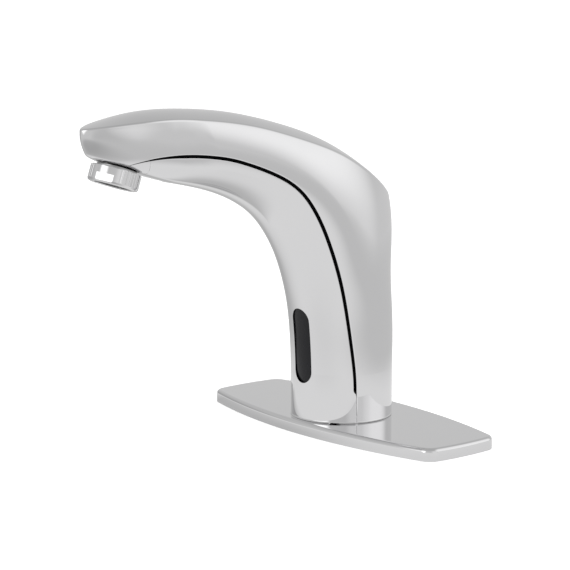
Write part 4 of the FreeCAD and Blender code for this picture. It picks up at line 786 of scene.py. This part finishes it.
# ------------------------------------------------------------------ floor, light, camera
def plane_mesh(name, rows, cols, fn):
    P = np.array([[fn(i / (rows - 1), j / (cols - 1)) for j in range(cols)] for i in range(rows)])
    me = bpy.data.meshes.new(name)
    v = P.reshape(-1, 3).tolist()
    f = [(i * cols + j, i * cols + j + 1, (i + 1) * cols + j + 1, (i + 1) * cols + j) for i in range(rows - 1) for j in range(cols - 1)]
    me.from_pydata(v, [], f)
    me.update()
    for poly in me.polygons:
        poly.use_smooth = True
    ob = bpy.data.objects.new(name, me)
    C.collection.objects.link(ob)
    return ob


AZ, EL = math.radians(50.98), math.radians(9.75)


def sweep(i, j):
    """flat floor that turns up into a backdrop far behind the object"""
    side = (j - 0.5) * 14.0
    run = -5.0 + 13.0 * i
    zz = -0.0004
    if run > 4.0:
        a = min(math.pi / 2, (run - 4.0) / 2.0)
        extra = max(0.0, (run - 4.0) - math.pi)
        zz += 2.0 * (1 - math.cos(a)) + extra
        run = 4.0 + 2.0 * math.sin(a)
    d = (-math.sin(AZ), math.cos(AZ))
    r = (math.cos(AZ), math.sin(AZ))
    return (d[0] * run + r[0] * side, d[1] * run + r[1] * side, zz)


fm = bpy.data.materials.new("floor")
fm.use_nodes = True
fb = fm.node_tree.nodes["Principled BSDF"]
fb.inputs["Base Color"].default_value = (0.9, 0.9, 0.9, 1)
fb.inputs["Roughness"].default_value = 0.9
fb.inputs["Emission Color"].default_value = (1, 1, 1, 1)
fb.inputs["Emission Strength"].default_value = 0.5
floor = plane_mesh("floor", 66, 3, sweep)
floor.data.materials.append(fm)
floor.visible_glossy = False


# what the chrome sees below it, in reflections only: a pale glowing table with a painted soft pool of light round the
# object, a painted darker patch of shade towards the front and another towards the left
def table_point(i, j):
    return ((i - 0.5) * 6.0, (j - 0.5) * 6.0, -0.0002)


tm = bpy.data.materials.new("table_glow")
tm.use_nodes = True
tn_ = tm.node_tree
for nd in list(tn_.nodes):
    tn_.nodes.remove(nd)
t_out = tn_.nodes.new("ShaderNodeOutputMaterial")
t_em = tn_.nodes.new("ShaderNodeEmission")
t_co = tn_.nodes.new("ShaderNodeTexCoord")


def t_blob(cx, cy, r0, r1, v0, v1):
    d = tn_.nodes.new("ShaderNodeVectorMath")
    d.operation = "DISTANCE"
    d.inputs[1].default_value = (cx, cy, 0)
    tn_.links.new(t_co.outputs["Object"], d.inputs[0])
    m = tn_.nodes.new("ShaderNodeMapRange")
    m.interpolation_type = "SMOOTHSTEP"
    m.inputs["From Min"].default_value = r0
    m.inputs["From Max"].default_value = r1
    m.inputs["To Min"].default_value = v0
    m.inputs["To Max"].default_value = v1
    tn_.links.new(d.outputs["Value"], m.inputs["Value"])
    return m.outputs["Result"]


def t_math(op, a, b):
    m = tn_.nodes.new("ShaderNodeMath")
    m.operation = op
    for k, v in enumerate((a, b)):
        if isinstance(v, (int, float)):
            m.inputs[k].default_value = v
        else:
            tn_.links.new(v, m.inputs[k])
    return m.outputs[0]


# painted light and shade in the table's glow: pool of light round the object (pool), painted shade patches at the
# front (dark) and at the left (side)
pool = t_blob(0.0, -0.04, 0.13, 0.26, 0.80, 0.60)
dark = t_blob(0.10, -0.42, 0.10, 0.34, 0.72, 1.0)
side = t_blob(-0.36, -0.06, 0.12, 0.30, 0.76, 1.0)
# soft shade on the table close to the plate, deepest at its left front
t_sep = tn_.nodes.new("ShaderNodeSeparateXYZ")
tn_.links.new(t_co.outputs["Object"], t_sep.inputs["Vector"])
t_x = t_math("DIVIDE", t_math("ABSOLUTE", t_sep.outputs["X"], 0.0), 0.0835)
t_y = t_math("DIVIDE", t_math("ABSOLUTE", t_math("SUBTRACT", t_sep.outputs["Y"], 0.0044), 0.0), 0.033)
t_long = t_math("MULTIPLY", t_math("SUBTRACT", t_math("ADD", t_y, t_math("MULTIPLY", t_math("MULTIPLY", t_x, t_x), 0.27)), 1.0), 0.033)
t_end = t_math("MULTIPLY", t_math("SUBTRACT", t_x, 1.0), 0.0835)
t_far = t_math("MAXIMUM", t_long, t_end)


def t_ramp(v, a, b, c, d):
    m = tn_.nodes.new("ShaderNodeMapRange")
    m.interpolation_type = "SMOOTHSTEP"
    for name, val in (("From Min", a), ("From Max", b), ("To Min", c), ("To Max", d)):
        m.inputs[name].default_value = val
    tn_.links.new(v, m.inputs["Value"])
    return m.outputs["Result"]


shade = t_math("MULTIPLY", t_ramp(t_far, 0.0, 0.024, 1.0, 0.0), t_ramp(t_sep.outputs["X"], -0.02, 0.06, 0.34, 0.06))
shade = t_math("SUBTRACT", 1.0, shade)
tn_.links.new(t_math("MULTIPLY", t_math("MULTIPLY", t_math("MULTIPLY", pool, dark), side), shade), t_em.inputs["Strength"])
t_clear = tn_.nodes.new("ShaderNodeBsdfTransparent")
t_mix = tn_.nodes.new("ShaderNodeMixShader")
tn_.links.new(t_blob(0.0, 0.0, 0.32, 0.95, 0.0, 1.0), t_mix.inputs["Fac"])
tn_.links.new(t_em.outputs[0], t_mix.inputs[1])
tn_.links.new(t_clear.outputs[0], t_mix.inputs[2])
tn_.links.new(t_mix.outputs[0], t_out.inputs["Surface"])
tablet = plane_mesh("table_glow", 3, 3, table_point)
tablet.data.materials.append(tm)
tablet.visible_camera = False
tablet.visible_diffuse = False
tablet.visible_shadow = False
tablet.visible_transmission = False

world = bpy.data.worlds.new("studio")
scene.world = world
world.use_nodes = True
wn = world.node_tree
bg = wn.nodes["Background"]
tcw = wn.nodes.new("ShaderNodeTexCoord")


def toward(az, el):
    """unit vector; az is measured from the camera's side, positive to the right"""
    a, e_ = AZ + math.radians(az), math.radians(el)
    return (math.sin(a) * math.cos(e_), -math.cos(a) * math.cos(e_), math.sin(e_))


def w_math(op, a, b, clamp=False):
    m = wn.nodes.new("ShaderNodeMath")
    m.operation = op
    m.use_clamp = clamp
    for k, v in enumerate((a, b)):
        if isinstance(v, (int, float)):
            m.inputs[k].default_value = v
        else:
            wn.links.new(v, m.inputs[k])
    return m.outputs[0]


def lobe(az, el, wide, soft, amount):
    """soft round patch of light in the surroundings, of this angular radius"""
    d = wn.nodes.new("ShaderNodeVectorMath")
    d.operation = "DOT_PRODUCT"
    d.inputs[1].default_value = toward(az, el)
    wn.links.new(tcw.outputs["Generated"], d.inputs[0])
    m = wn.nodes.new("ShaderNodeMapRange")
    m.interpolation_type = "SMOOTHSTEP"
    m.inputs["From Min"].default_value = math.cos(math.radians(wide + soft))
    m.inputs["From Max"].default_value = math.cos(math.radians(wide))
    m.inputs["To Min"].default_value = 0.0
    m.inputs["To Max"].default_value = amount
    wn.links.new(d.outputs["Value"], m.inputs["Value"])
    return m.outputs["Result"]


sep = wn.nodes.new("ShaderNodeSeparateXYZ")
wn.links.new(tcw.outputs["Generated"], sep.inputs["Vector"])
up_ = wn.nodes.new("ShaderNodeMapRange")
up_.inputs["From Min"].default_value = 0.0
up_.inputs["From Max"].default_value = 1.0
up_.inputs["To Min"].default_value = 0.66
up_.inputs["To Max"].default_value = 0.46
wn.links.new(sep.outputs["Z"], up_.inputs["Value"])
total = up_.outputs["Result"]
for args in LOBES:
    total = w_math("ADD", total, lobe(*args))
wn.links.new(total, bg.inputs["Strength"])
bg.inputs["Color"].default_value = (1.0, 1.0, 1.0, 1)


def area(name, loc, aim, size, size_y, power):
    d = bpy.data.lights.new(name, "AREA")
    d.shape = "RECTANGLE"
    d.size = size
    d.size_y = size_y
    d.energy = power
    o = bpy.data.objects.new(name, d)
    C.collection.objects.link(o)
    o.location = loc
    o.rotation_euler = (Vector(aim) - Vector(loc)).to_track_quat("-Z", "Y").to_euler()
    o.visible_glossy = False
    return o


area("key", (1.2, -0.9, 1.6), (0, -0.05, 0.08), 1.2, 1.2, 22)

cam_d = bpy.data.cameras.new("camera")
cam = bpy.data.objects.new("camera", cam_d)
C.collection.objects.link(cam)
scene.camera = cam
back = Vector((math.sin(AZ) * math.cos(EL), -math.cos(AZ) * math.cos(EL), math.sin(EL)))
cam.location = Vector((0.7328, -0.6296, 0.2361))
cam.rotation_euler = (-back).to_track_quat("-Z", "Y").to_euler()
cam_d.sensor_width = 36.0
cam_d.sensor_fit = "HORIZONTAL"
cam_d.lens = 2000.0 / 570.0 * 36.0
cam_d.clip_start = 0.01
cam_d.clip_end = 50

scene.view_settings.view_transform = "Standard"
scene.view_settings.look = "None"
